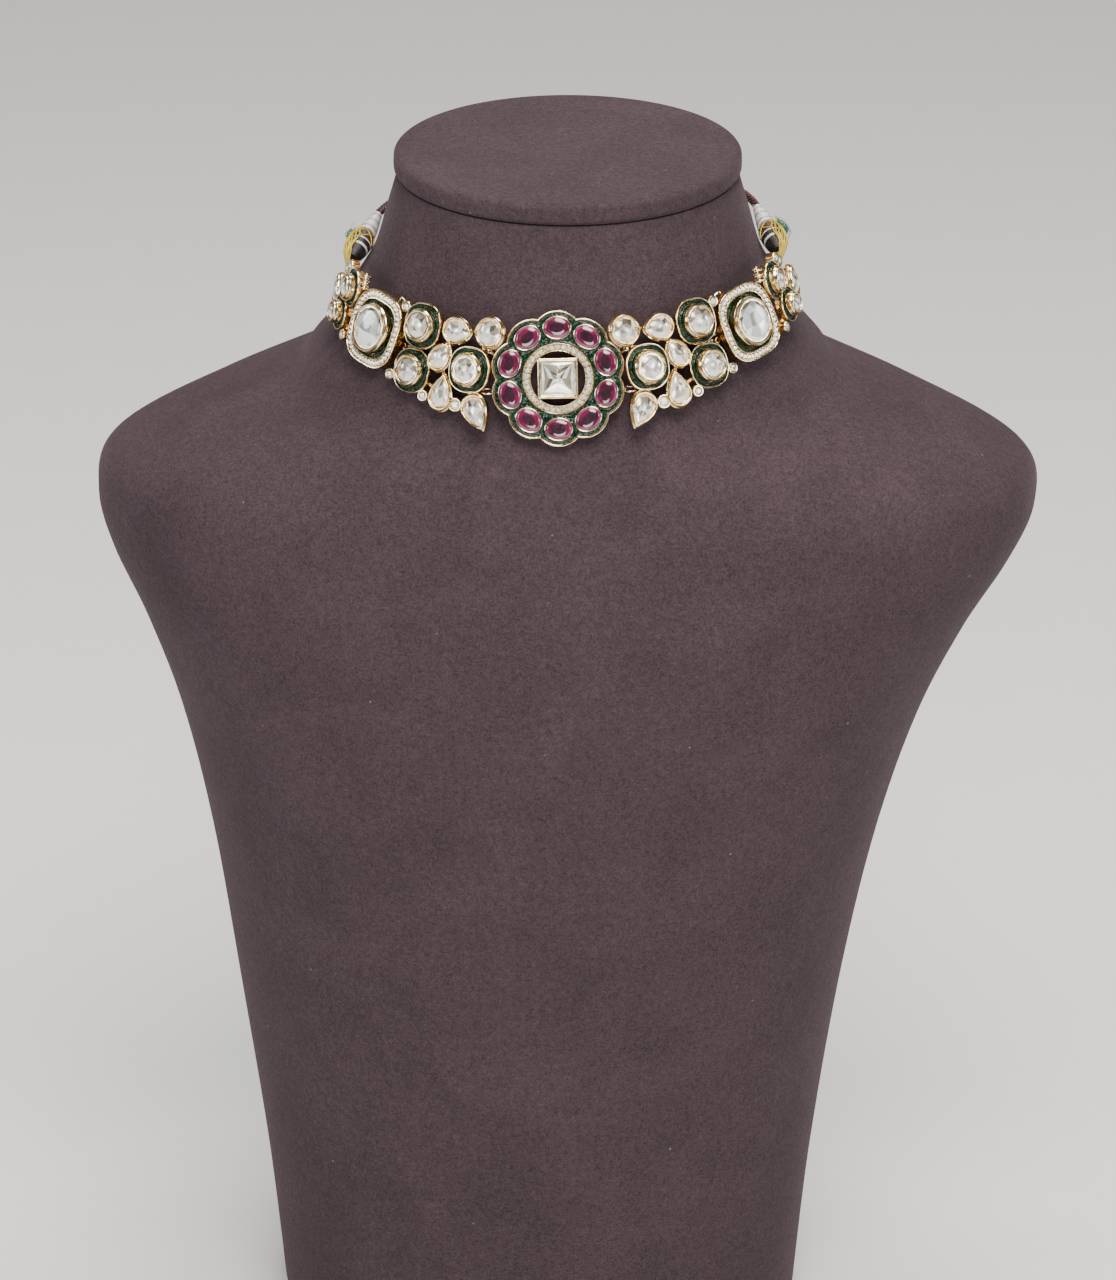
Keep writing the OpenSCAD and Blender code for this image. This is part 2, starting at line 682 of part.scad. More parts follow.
module end_stones() {
    color(CLEAR) {
        for (unit = END_UNITS) hang(END_SEATS[unit[0]]) unit_stone(unit);
        for (accent = END_ACCENTS) hang(END_SEATS[accent[0]]) accent_stone(accent);
    }
}

// Ring through two eyes
module link(from, to) {
    middle = (from + to) / 2;
    across = direction(to - from);
    outward = direction(cross(across, [0, 0, 1]));
    normal = direction(cross(across, outward));
    r = norm(to - from) / 2;
    path = [for (i = [0 : 11]) middle + r * (cos(i * 30) * across + sin(i * 30) * outward)];
    sweep(path, normal, wire_d, 6, true);
}

module link_rings() {
    z = eye_t / 2;
    color(GOLD) for (side = SIDES) on_side(side) {
        for (up = WING_JOINT)
            link(hung(MEDALLION_SEAT, [MEDALLION_REACH - eye_reach, up, z]),
                 hung(WING_SEATS[0], [eye_reach, up, z]));
        for (up = PLAQUE_JOINT)
            link(hung(WING_SEATS[1], [WING_OUTER - eye_reach, up, z]),
                 hung(PLAQUE_SEAT, [eye_reach, up, z]));
        for (up = END_JOINT)
            link(hung(PLAQUE_SEAT, [PLAQUE_SPAN - eye_reach, unrolled(up), z]),
                 hung(END_SEATS[0], [eye_reach, up, z]));
    }
}

// Smooth value between the rows of a table, one column at a time
function row_value(rows, column, i, t) =
    let (last = len(rows) - 1,
         a = rows[max(i - 1, 0)][column], b = rows[i][column],
         c = rows[min(i + 1, last)][column], d = rows[min(i + 2, last)][column])
    b + 0.5 * t * (c - a + t * (2 * a - 5 * b + 4 * c - d + t * (3 * (b - c) + d - a)));

// Section sizes in millimetres: height, half width, front depth, back depth, shift to the left
BUST_SIZES = [for (row = BUST_ROWS) let (size = SIZES[row[1]], part = row[0])
              [part < 1 ? neck_top - part * neck_l : (2 - part) * neck_foot,
               size * row[2], size * row[3], size * row[4], foot_shift * row[5]]];

function bust_section(i, t) = [for (column = [0 : 4]) row_value(BUST_SIZES, column, i, t)];
function bust_ring(size) =
    [for (j = [0 : BUST_POINTS - 1])
     let (a = j * 360 / BUST_POINTS, depth = sin(a) > 0 ? size[3] : size[2])
     [size[1] * cos(a) - size[4], depth * sin(a), size[0]]];
function neck_at(z) = lookup(z, [for (size = BUST_SIZES) [size[0], size[1]]]);

module bust_body() {
    last = len(BUST_SIZES) - 1;
    sections = [for (i = [last : -1 : 0], k = [ROW_STEPS - 1 : -1 : 0])
                if (i < last || k == 0) bust_section(i, k / ROW_STEPS)];
    color(VELVET) skin([for (size = sections) bust_ring(size)]);
}

module bust_cap() {
    r = cap_w / 2;
    color(VELVET) translate([0, 0, bust_h - cap_t]) rotate_extrude($fn = 96) {
        square([r - cap_round, cap_t]);
        translate([0, cap_round]) square([r, cap_t - 2 * cap_round]);
        translate([r - cap_round, cap_round]) circle(r = cap_round, $fn = 32);
        translate([r - cap_round, cap_t - cap_round]) circle(r = cap_round, $fn = 32);
    }
}

// Cord behind the neck: a level loop that stands further out at the slider
cord_z = choker_z + cord_rise;
ball_z = choker_z + ball_rise;
// Places of the ball and of the cord's end round the neck, both behind the last joint
BALL_AT = ANGLES[4] + 16;
CORD_FROM = ANGLES[4] + 32;
function cord_out(angle) =
    neck_at(cord_z) + cord_gap + mix(cord_d, slider_d, pow(max(0, -cos(angle)), 8)) / 2;
function round_neck(angle, r, z) = [r * sin(angle), -r * cos(angle), z];

module dori_cord() {
    steps = 52;
    path = [for (i = [0 : steps]) let (angle = mix(CORD_FROM, 360 - CORD_FROM, i / steps))
            round_neck(angle, cord_out(angle), cord_z)];
    color(MAROON) tilted() sweep(path, [0, 0, 1], cord_d, 8);
}

// Ball and cone lie on one line, from the middle of the ball up to the end of the cord
ball_middle = round_neck(BALL_AT, neck_at(ball_z) + cord_gap + ball_d / 2, ball_z);
cord_start = round_neck(CORD_FROM, cord_out(CORD_FROM), cord_z);
tassel = direction(cord_start - ball_middle);
cord_end_gap = 0.9;
thread_gap = 1;
cone_l = norm(cord_start - ball_middle) - ball_l / 2 - stone_gap - cord_end_gap;

module along_tassel(from) {
    translate(ball_middle + from * tassel)
        rotate([0, acos(tassel.z), atan2(tassel.y, tassel.x)]) children();
}

module zari_cone() {
    color(ZARI) along_tassel(ball_l / 2 + stone_gap)
        cylinder(d1 = ball_d * 0.86, d2 = cord_d, h = cone_l, $fn = 32);
}

module thread_ball() {
    color(MAROON) along_tassel(-ball_l / 2)
        rotate_extrude($fn = 32) polygon([for (p = BALL) [ball_d / 2 * p.x, ball_l * p.y]]);
}

// Outline of the ball as shares of its radius and length, from its lower end
BALL = [[0, 0], [0.56, 0], [0.74, 0.12], [0.88, 0.28], [0.97, 0.45], [1, 0.6], [0.97, 0.76], [0.86, 0.9],
        [0.7, 1], [0, 1]];

module dori_loops() {
    eye_point = hung(END_SEATS[1], [THREAD_EYE.x, THREAD_EYE.y, eye_t / 2]);
    ball_point = ball_middle - (ball_l / 2 + thread_gap) * tassel;
    along = direction(ball_point - eye_point);
    outward = direction([eye_point.x, eye_point.y, 0]);
    normal = direction(cross(along, outward));
    away = cross(normal, along);
    bend = (thread_bore + eye_wall) / 2;
    centre = eye_point + bend * along;
    strand = 0.65 * thread_d;
    path = concat([ball_point + strand * away], [mix(centre, ball_point, 0.3) + bend * away],
                  [for (a = [90 : 30 : 270]) centre + bend * (cos(a) * along + sin(a) * away)],
                  [mix(centre, ball_point, 0.3) - bend * away], [ball_point - strand * away]);
    color(THREAD) for (side = SIDES) on_side(side) sweep(path, normal, thread_d, 8);
}

module dori_slider() {
    color(MAROON) tilted() translate(round_neck(180, cord_out(180), cord_z)) rotate([0, 90, 0])
        difference() {
            cylinder(d = slider_d, h = slider_l, center = true, $fn = 32);
            cylinder(d = cord_d + 4 * stone_gap, h = slider_l + 1, center = true, $fn = 32);
        }
}

bust_body();
bust_cap();
medallion_frame();
medallion_enamel();
medallion_pave();
medallion_stone();
link_rings();
dori_loops();
dori_cord();
dori_slider();
for (i = [1 : LOBES]) ruby(i);
for (side = SIDES) {
    on_side(side) wing_frame();
    on_side(side) wing_enamel();
    on_side(side) wing_accents();
    for (i = UNITS) on_side(side) kundan(i);
    on_side(side) plaque_frame();
    on_side(side) plaque_enamel();
    on_side(side) plaque_pave();
    on_side(side) plaque_stone();
    on_side(side) end_frame();
    on_side(side) end_enamel();
    on_side(side) end_stones();
    on_side(side) thread_ball();
    on_side(side) zari_cone();
}
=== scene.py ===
"""Finishes a kundan choker and the velvet neck bust that it hangs on."""
import math
import random
from collections import namedtuple

import bmesh
import bpy
from bpy.props import FloatProperty, FloatVectorProperty, IntProperty, PointerProperty
from mathutils import Matrix, Vector


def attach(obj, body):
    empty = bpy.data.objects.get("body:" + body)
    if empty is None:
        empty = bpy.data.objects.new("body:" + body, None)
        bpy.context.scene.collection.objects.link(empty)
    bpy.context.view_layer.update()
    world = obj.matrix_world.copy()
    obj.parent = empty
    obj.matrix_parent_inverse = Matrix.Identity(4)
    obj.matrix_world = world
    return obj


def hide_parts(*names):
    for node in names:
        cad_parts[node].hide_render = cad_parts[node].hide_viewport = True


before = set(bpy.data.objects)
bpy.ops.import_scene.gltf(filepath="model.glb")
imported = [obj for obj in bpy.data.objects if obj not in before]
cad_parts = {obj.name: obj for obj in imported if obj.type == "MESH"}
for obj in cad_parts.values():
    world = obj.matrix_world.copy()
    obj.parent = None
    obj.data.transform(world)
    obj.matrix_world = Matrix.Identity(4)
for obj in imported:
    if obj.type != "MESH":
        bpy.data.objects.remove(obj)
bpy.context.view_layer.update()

bl_info = {
    "name": "Kundan Choker on a Neck Bust",
    "version": (1, 0, 0),
    "blender": (4, 5, 0),
    "location": "3D View > Sidebar > Choker",
    "description": "Builds the finished metal, stones, enamel, threads and velvet of the choker",
    "category": "Object",
}

MM = 0.001
BODY = "root"
SIDES = ("l", "r")


def table(columns, *rows):
    """Rows with named columns"""
    row = namedtuple("Row", columns)
    return [row(*values) for values in rows]


# Sizes shared with the solids, in mm

BUST_H, CAP_T, SEAM_T, NECK_L, FOOT_SHIFT = 345, 6, 0.3, 56, 8
CAP_W, NECK_W, SHOULDER_W, FOOT_W = 93, 116, 256, 148
NECK_TOP = BUST_H - CAP_T - SEAM_T
NECK_FOOT = NECK_TOP - NECK_L
NECK_R, NECK_GAP = NECK_W / 2, 0.6
CHOKER_Z, TILT, HANG = 306.5, 2, 4.6
REACH, WING_IN, WING_OUT, PLAQUE_SPAN, END_IN = 17.8, 16.9, 9, 22.6, 9
JOINT_RADII = (math.hypot(REACH, NECK_R + NECK_GAP), 60, 60, 61.6, 61.6)
FRONT_LEAN, PLAQUE_LEAN, END_LEAN, PLAQUE_ROLL, END_BEND = 20, 22, 15, 6, 13.5

# WALL is the metal round a stone, GAP the air between them, and CUP the two together
WALL, GAP, LIP, BACK_H = 0.55, 0.12, 0.3, 1.6
CUP = WALL + GAP
GRAIN_SINK, PAVE_SINK, PAVE_RISE = 0.2, 0.48, 0.66
CUP_H, TRAY_H, COLLET_H, ACCENT_H, HALO_BAND, HALO_RIM = 3.4, 2.6, 5.0, 2.5, 1.2, 0.45
LOBES, LOBE_ORBIT, LOBE_R, LOBE_POINTS = 10, 11.1, 6.7, 480
RUBY_ORBIT, RUBY_L, RUBY_W, RUBY_RIM = 13.2, 6.2, 4.8, 3.1
RING_R, RING_W, RING_H = 7.1, 2.15, 3.0
RING_MIDDLE = RING_R + RING_W / 2
SQUARE_W, SQUARE_H = 8.8, 4.2
PLAQUE_W, BORDER_W, BORDER_H, PLAQUE_STONE, PLAQUE_COLLET = 19.8, 2.5, 3.4, 11.9, 5.7
PLAQUE_INNER, BORDER_POINTS = PLAQUE_W - 2 * BORDER_W, 256
RING_STONES, RING_STONE_D, RING_GRAIN_D, RING_GRAIN_OFF = 34, 1.44, 0.34, 0.68
BORDER_STONES, BORDER_STONE_D, BORDER_GRAIN_D, BORDER_GRAIN_OFF = 42, 1.42, 0.36, 0.64
EYE_REACH, EYE_BORE, EYE_WALL, EYE_T, TAB_L, END_TAB_L = 1.15, 1.1, 0.3, 0.7, 3, 4
WIRE_D, LOOSE_RING_R, LOOSE_RING_D = 0.45, 1.25, 0.5
WING_JOINT, PLAQUE_JOINT, END_JOINT = (2.6, -7.85), (1.55, -0.8), (1.2, -2.8)
THREAD_EYE = (3.4, 11.6)

# Each cup: facet of its panel, place along and up it, stone's width and height, turn in degrees,
# point from 0 for an oval to 1 for a drop, and bulge of the enamelled tray round it, or 0
UNIT = "facet along up w h turn point bulge"
ACCENT = "facet along up d"
BAR = "facet along up to_along to_up"
WING_UNITS = table(
    UNIT, (0, -0.2, 7.6, 7.6, 7.6, 0, 0, 0), (0, 9.5, 6.6, 6.6, 7.8, 90, 0.4, 0),
    (1, 3.9, 6.0, 7.6, 7.6, 0, 0, 2.4), (0, 4.5, -2.9, 7.6, 7.6, 0, 0, 2.4),
    (0, 13.6, -0.9, 5.6, 7.2, 28, 0.25, 0), (1, 4.8, -6.1, 7.3, 7.3, 0, 0, 2.4),
    (0, 0.6, -13.6, 6.5, 9.0, 144, 0.8, 0), (0, 11.8, -10.0, 6.2, 8.7, 4, 0.9, 0))
WING_ACCENTS = table(
    ACCENT, (0, 7.3, -12.6, 2.6), (0, 17.5, -11.8, 1.9), (1, 12.0, -8.5, 1.8), (1, 10.6, 9.8, 1.9))
WING_BARS = table(
    BAR, (0, -0.2, 7.6, 9.5, 6.6), (0, 9.5, 6.6, 18.9, 6.2), (0, -0.2, 7.6, 4.5, -2.9),
    (0, 9.5, 6.6, 13.6, -0.9), (0, 4.5, -2.9, 13.6, -0.9), (0, 13.6, -0.9, 19.4, -3.6),
    (0, 4.5, -2.9, 0.6, -13.6), (0, 13.6, -0.9, 11.8, -10.0), (0, 0.6, -13.6, 11.8, -12.4),
    (0, 11.8, -10.8, 19.4, -7.4), (0, 11.8, -12, 17.5, -11.8), (1, 3.9, 6.0, 4.8, -6.1),
    (1, 4.8, -6.1, 12, -8.5), (1, 3.9, 6.0, 10.6, 9.8))
END_UNITS = table(
    UNIT, (0, 2.9, 9.0, 5.0, 6.0, 0, 0, 2), (0, 7.9, 0.5, 4.4, 5.2, 0, 0, 2),
    (1, 6.4, 4.0, 5.8, 8.0, -12, 0.3, 0))
END_ACCENTS = table(
    ACCENT, (0, 7.4, 13.6, 1.8), (0, 9.0, 12.3, 1.8), (0, 8.7, 7.4, 1.6), (0, 3.4, -4.4, 1.7))
END_BARS = table(
    BAR, (0, 2.9, 9.0, 7.4, 13.6), (0, 7.4, 13.6, 9.0, 12.3), (0, 2.9, 9.0, 8.7, 7.4),
    (0, 7.9, 0.5, 8.7, 7.4), (0, 2.9, 9.0, 7.9, 0.5), (0, 7.9, 0.5, 3.4, -4.4),
    (0, 8.7, 7.4, 13.8, 6.4), (0, 7.9, 0.5, 12.7, 1.6), (1, 6.4, 4.0, 3.4, 10.3))

# Sections of the bust: place from 0 to 1 down the neck and from 1 to 2 down the rest, the width
# followed, its shares for half width, front and back, and the share of the foot's shift
BUST_ROWS = table(
    "place width half front back shift",
    (0.000, CAP_W, 0.490, 0.490, 0.490, 0), (0.195, NECK_W, 0.420, 0.420, 0.420, 0),
    (0.400, NECK_W, 0.450, 0.458, 0.450, 0), (0.580, NECK_W, 0.500, 0.500, 0.495, 0),
    (0.740, NECK_W, 0.546, 0.520, 0.515, 0), (0.865, NECK_W, 0.596, 0.543, 0.538, 0),
    (1.000, NECK_W, 0.660, 0.578, 0.552, 0), (1.035, SHOULDER_W, 0.395, 0.276, 0.252, 0),
    (1.078, SHOULDER_W, 0.486, 0.290, 0.250, 0), (1.123, SHOULDER_W, 0.500, 0.302, 0.246, 0.05),
    (1.173, SHOULDER_W, 0.483, 0.312, 0.240, 0.2), (1.245, SHOULDER_W, 0.442, 0.316, 0.230, 0.4),
    (1.341, SHOULDER_W, 0.400, 0.312, 0.220, 0.6), (1.473, SHOULDER_W, 0.363, 0.298, 0.206, 0.8),
    (1.640, SHOULDER_W, 0.332, 0.272, 0.194, 0.97), (1.832, FOOT_W, 0.525, 0.430, 0.330, 1),
    (2.000, FOOT_W, 0.495, 0.390, 0.320, 1))
BUST_SIZES = [(NECK_TOP - r.place * NECK_L if r.place < 1 else (2 - r.place) * NECK_FOOT,
               r.width * r.half, r.width * r.front, r.width * r.back, FOOT_SHIFT * r.shift)
              for r in BUST_ROWS]

# Cord behind the neck and what is on it; the ball's shape is its share of width at each share of length
CORD_D, CORD_GAP, CORD_Z, BALL_Z = 2.4, 1.2, 323.5, 319
BALL_D, BALL_L, THREAD_D, SLIDER_D, SLIDER_L = 6.4, 11, 1.0, 4.6, 9
CORD_BEHIND, BALL_BEHIND, CORD_END_GAP, THREAD_GAP, THREAD_PLAY = 32, 16, 0.9, 1.0, 0.9
NET_D, TUFT_D, LOOP_D, LOOP_OFF, BAND_D = 0.42, 0.17, 0.5, 0.24, 0.52
BALL_SHAPE = ((0.56, 0), (0.74, 0.12), (0.88, 0.28), (0.97, 0.45), (1, 0.6), (0.97, 0.76), (0.86, 0.9),
              (0.7, 1))

# Seeds of the random draws, and for each tuft its seed and its number of strands
RING_SEED, WING_SEED, BORDER_SEED, SLAB_SEED, END_SEED = 7, 21, 31, 44, 61
TUFTS = {"l": (5, 34), "r": (9, 80)}


# Where the panels hang

def turned(degrees, axis):
    return Matrix.Rotation(math.radians(degrees), 4, axis)


def moved(x, y, z=0):
    return Matrix.Translation((x, y, z))


def joints_round_neck():
    """Joint points in plan, the headings of the panels between them, and the last joint's angle"""
    turns = [math.atan2(REACH, NECK_R + NECK_GAP)]
    for a, b, span in zip(JOINT_RADII, JOINT_RADII[1:], (WING_IN, WING_OUT, PLAQUE_SPAN, END_IN)):
        turns.append(turns[-1] + math.acos((a * a + b * b - span * span) / (2 * a * b)))
    points = [Vector((r * math.sin(t), -r * math.cos(t), CHOKER_Z)) for r, t in zip(JOINT_RADII, turns)]
    headings = [math.degrees(math.atan2(b.y - a.y, b.x - a.x)) for a, b in zip(points, points[1:])]
    return points, headings, math.degrees(turns[-1])


def seat(point, turn, lean, roll=0):
    return moved(*point) @ turned(turn, "Z") @ turned(90 - lean, "X") @ turned(roll, "Z")


POINTS, HEADINGS, LAST_JOINT = joints_round_neck()
CORD_FROM, BALL_AT = LAST_JOINT + CORD_BEHIND, LAST_JOINT + BALL_BEHIND
FRONT_SEAT = seat((0, -NECK_R - NECK_GAP, CHOKER_Z), 0, FRONT_LEAN)
MEDALLION_SEAT = FRONT_SEAT @ moved(0, -HANG)
WING_SEATS = [seat(POINTS[i], HEADINGS[i], FRONT_LEAN) for i in (0, 1)]
PLAQUE_EDGE = seat(POINTS[2], HEADINGS[2], PLAQUE_LEAN, PLAQUE_ROLL)
PLAQUE_SEAT = PLAQUE_EDGE @ moved(PLAQUE_SPAN / 2 + 0.5, -0.2)
END_SEATS = [seat(POINTS[3 + i], HEADINGS[3] + i * END_BEND, END_LEAN) for i in (0, 1)]


def on_side(side):
    """Tilt of the whole choker, mirrored for its left half"""
    middle = moved(0, 0, CHOKER_Z)
    tilt = middle @ turned(-TILT, "Y") @ middle.inverted()
    return tilt @ Matrix.Diagonal((-1 if side == "l" else 1, 1, 1, 1))


def unrolled(up):
    """Height on the rolled plaque's far edge that comes level with the given one on the end panel"""
    roll = math.radians(PLAQUE_ROLL)
    return (up - (PLAQUE_SPAN - EYE_REACH) * math.sin(roll)) / math.cos(roll)


# Outlines

def full_turn(n, spin=0):
    """n angles evenly round a circle, shifted by a share of the step between them"""
    return [2 * math.pi * (i + spin) / n for i in range(n)]


def polar(r, t):
    return (r * math.cos(t), r * math.sin(t))


def circle_outline(r, n=96):
    return [polar(r, t) for t in full_turn(n)]


def drop_reach(t, point):
    """Share of the half width at angle t from the top: a sine for an oval, drawn in above for a drop"""
    widest = 1 - 0.23 * point if point > 0 else 1
    return math.sin(t) * abs(math.sin(t / 2)) ** point / widest


def drop_outline(w, h, point, by=0.0, n=64):
    """Oval (point 0) to drop (point 1) with a round end below, grown by a wall"""
    w, h = w + 2 * by, h + 2 * by * (1 + 0.5 * point)
    return [(-w / 2 * drop_reach(t, point), h / 2 * math.cos(t)) for t in full_turn(n)]


def squarish(t, bulge):
    """Reach of a round form of radius 1 at angle t: bulge 2 is a circle, and a higher one is squarer"""
    return (abs(math.cos(t)) ** bulge + abs(math.sin(t)) ** bulge) ** (-1 / bulge)


def cushion_outline(w, n=160, bulge=3.0):
    return [polar(w / 2 * squarish(t, bulge), t) for t in full_turn(n)]


def tray_outline(unit, by, n=72):
    """Squarish oval of an enamelled tray, as many points as the oval inside it"""
    return [(-(unit.w / 2 + by) * squarish(t, unit.bulge) * math.sin(t),
             (unit.h / 2 + by) * squarish(t, unit.bulge) * math.cos(t)) for t in full_turn(n)]


def square_outline(half, corner=0.35, n=6):
    """Square with small round corners"""
    out = []
    for quarter, (right, up) in enumerate(((1, 1), (-1, 1), (-1, -1), (1, -1))):
        for i in range(n + 1):
            x, y = polar(corner, math.pi / 2 * (quarter + i / n))
            out.append(((half - corner) * right + x, (half - corner) * up + y))
    return out


def lobed_outline(grow):
    """Outer edge of ten round lobes, one of them at the top"""
    out, r = [], LOBE_R + grow
    step = 2 * math.pi / LOBES
    for t in full_turn(LOBE_POINTS):
        off = (t - math.pi / 2 + step / 2) % step - step / 2
        reach = LOBE_ORBIT * math.cos(off) + math.sqrt(r * r - (LOBE_ORBIT * math.sin(off)) ** 2)
        out.append(polar(reach, t))
    return out


def spread(path, count, start=0.0):
    """Points at equal distances along a closed outline"""
    lengths = [0.0]
    for a, b in zip(path, path[1:] + path[:1]):
        lengths.append(lengths[-1] + math.dist(a, b))
    out = []
    for k in range(count):
        run = lengths[-1] * (k + start) / count
        i = max(j for j in range(len(path)) if lengths[j] <= run)
        t = (run - lengths[i]) / (lengths[i + 1] - lengths[i])
        out.append(mixed(path[i], path[(i + 1) % len(path)], t))
    return out


def mixed(a, b, k):
    """Point at share k of the way from a to b, both in the plane"""
    return (a[0] + (b[0] - a[0]) * k, a[1] + (b[1] - a[1]) * k)


def between(path, i, t):
    """Smooth curve through a list of points or numbers, at share t of the way from the one at i"""
    last = len(path) - 1
    a, b, c, d = path[max(i - 1, 0)], path[i], path[min(i + 1, last)], path[min(i + 2, last)]
    return b + 0.5 * t * (c - a + t * (2 * a - 5 * b + 4 * c - d + t * (3 * (b - c) + d - a)))


def smoothed(path, steps):
    return [between(path, i, k / steps) for i in range(len(path) - 1) for k in range(steps)] + [path[-1]]


def ring_at(outline, z):
    return [(x, y, z) for x, y in outline]


# Mesh work

class Work:
    """Points in millimetres and faces with the name of their finish, gathered for one piece"""

    def __init__(self):
        self.points, self.faces, self.finish, self.flat = [], [], [], []

    def add(self, points, faces, place, finish, flat=False):
        """Faces over new points; a list of finishes gives one to each face"""
        base = len(self.points)
        mirrored = place.determinant() < 0
        self.points += [place @ Vector(p) for p in points]
        for face in faces:
            face = [base + i for i in face]
            self.faces.append(face[::-1] if mirrored else face)
        self.finish += [finish] * len(faces) if isinstance(finish, str) else finish
        self.flat += [flat] * len(faces)

    def loft(self, rings, place, finish, loop=False, top=True):
        """Skin over rings of equal length; a list of finishes gives one to each band, and the first of
        them to the faces that close the ends"""
        n, m = len(rings[0]), len(rings)
        bands = m if loop else m - 1
        finish = [finish] * bands if isinstance(finish, str) else finish[:bands]
        faces, finishes = [], []
        for i in range(bands):
            here, there = i * n, (i + 1) % m * n
            for j in range(n):
                jj = (j + 1) % n
                faces.append((here + j, here + jj, there + jj, there + j))
                finishes.append(finish[i])
        if not loop:
            faces.append(tuple(range(n - 1, -1, -1)))
        if top and not loop:
            faces.append(tuple((m - 1) * n + j for j in range(n)))
        finishes += [finish[0]] * (len(faces) - len(finishes))
        self.add([p for ring in rings for p in ring], faces, place, finishes)

    def profile(self, rows, outline, place, **options):
        """Skin over rows that hold the outline's size or how far it is grown, its height, and the finish
        of the band that ends there"""
        self.loft([ring_at(outline(size), z) for size, z, _ in rows], place,
                  [finish for _, _, finish in rows[1:] + rows[:1]], **options)

    def tube(self, path, place, d, finish, sides=8, loop=False, taper=None):
        """Round wire or thread along a free path, with a frame carried along it"""
        path = [Vector(p) for p in path]
        n = len(path)
        rings, normal = [], None
        for i, p in enumerate(path):
            a = path[(i - 1) % n] if loop else path[max(i - 1, 0)]
            b = path[(i + 1) % n] if loop else path[min(i + 1, n - 1)]
            along = (b - a).normalized()
            if normal is None:
                normal = along.orthogonal().normalized()
            normal = (normal - along * normal.dot(along)).normalized()
            across = along.cross(normal)
            r = d / 2 * (taper(i / (n - 1)) if taper else 1)
            rings.append([p + r * (math.cos(t) * normal + math.sin(t) * across) for t in full_turn(sides)])
        self.loft(rings, place, finish, loop)

    def piece(self, name, replaces=(), slot=None, sharp=38):
        mesh = bpy.data.meshes.new(name)
        mesh.from_pydata([tuple(p * MM) for p in self.points], [], self.faces)
        finishes = sorted(set(self.finish))
        for each in finishes:
            mesh.materials.append(finish(each))
        for k, polygon in enumerate(mesh.polygons):
            polygon.material_index = finishes.index(self.finish[k])
            polygon.use_smooth = not self.flat[k]
        bm = bmesh.new()
        bm.from_mesh(mesh)
        bmesh.ops.recalc_face_normals(bm, faces=bm.faces)
        bm.to_mesh(mesh)
        bm.free()
        mesh.set_sharp_from_angle(angle=math.radians(sharp))
        thing = bpy.data.objects.new(name, mesh)
        bpy.context.scene.collection.objects.link(thing)
        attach(thing, BODY)
        if replaces:
            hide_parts(*replaces)


# Materials

def linear(text):
    """sRGB hex to linear colour"""
    values = [int(text[i:i + 2], 16) / 255 for i in (1, 3, 5)]
    return tuple(v / 12.92 if v <= 0.04045 else ((v + 0.055) / 1.055) ** 2.4 for v in values)


def rgba(colour):
    return (colour[0], colour[1], colour[2], 1.0)


def shade(colour, k):
    return tuple(min(1.0, c * k) for c in colour)


def add(look, kind, settings=None, links=None, stops=()):
    """Node of the given kind, with its settings, what feeds each input, and the stops of its colour ramp"""
    item = look.node_tree.nodes.new(f"ShaderNode{kind}")
    for key, value in (settings or {}).items():
        if isinstance(key, str) and hasattr(item, key):
            setattr(item, key, value)
        else:
            item.inputs[key].default_value = value
    for key, source in (links or {}).items():
        output = source.outputs[0] if hasattr(source, "outputs") else source
        look.node_tree.links.new(output, item.inputs[key])
    if stops:
        for stop, (position, colour) in zip(item.color_ramp.elements, stops):
            stop.position, stop.color = position, rgba(colour)
    return item


def new_material(name):
    """Material without a shader yet, and the link that gives a pattern its place in millimetres"""
    look = bpy.data.materials.new(name)
    look.use_nodes = True
    look.node_tree.nodes.clear()
    place = add(look, "TexCoord")
    mm = add(look, "VectorMath", {"operation": "SCALE", "Scale": 1 / MM},
             {0: place.outputs["Object"]})
    return look, {"Vector": mm}


def closed(look, settings, links):
    """Material with the shader that completes it"""
    shader = add(look, "BsdfPrincipled", settings, links)
    add(look, "OutputMaterial", None, {"Surface": shader})
    return look


def velvet_brushed(name, colour, nap):
    """Short-nap flock velvet, brushed: matte, speckled by single tufts, paler where it is seen edge-on"""
    look, mm = new_material(name)
    # tufts about half a millimetre across, drawn as coarse as the view can show
    tuft = add(look, "TexNoise", {"Scale": 1.7, "Detail": 3.0, "Roughness": 0.7}, mm)
    fleck = add(look, "TexNoise", {"Scale": 0.6, "Detail": 2.0, "Roughness": 0.6}, mm)
    # strokes of the brush, one to three centimetres wide
    stroke = add(look, "TexNoise",
                 {"Scale": 0.04, "Detail": 3.0, "Roughness": 0.55, "Distortion": 0.6}, mm)
    pile = add(look, "ValToRGB", None, {"Fac": tuft},
               ((0.3, shade(colour, 0.62)), (0.72, shade(colour, 1.42))))
    light = add(look, "MapRange",
                {"From Min": 0.3, "From Max": 0.7, "To Min": 0.9, "To Max": 1.1}, {"Value": stroke})
    fine = add(look, "MapRange",
               {"From Min": 0.3, "From Max": 0.7, "To Min": 0.86, "To Max": 1.14}, {"Value": fleck})
    both = add(look, "Math", {"operation": "MULTIPLY"}, {0: light, 1: fine})
    base = add(look, "VectorMath", {"operation": "SCALE"}, {0: pile, "Scale": both})
    # single pale threads of lint, a few to each hand's breadth
    lint = add(look, "TexVoronoi", {"Scale": 0.09, "Randomness": 1.0}, mm)
    spot = add(look, "MapRange",
               {"From Min": 0.02, "From Max": 0.035, "To Min": 0.35, "To Max": 0.0}, {"Value": lint})
    dusted = add(look, "Mix", {"data_type": "RGBA", 7: rgba(nap)}, {0: spot, 6: base})
    bump = add(look, "Bump", {"Strength": 0.55, "Distance": 0.0004}, {"Height": tuft})
    return closed(look, {"Roughness": 0.95, "Specular IOR Level": 0.08, "Sheen Weight": 0.22,
                         "Sheen Roughness": 0.3, "Sheen Tint": rgba(nap)},
                  {"Base Color": dusted.outputs[2], "Normal": bump})


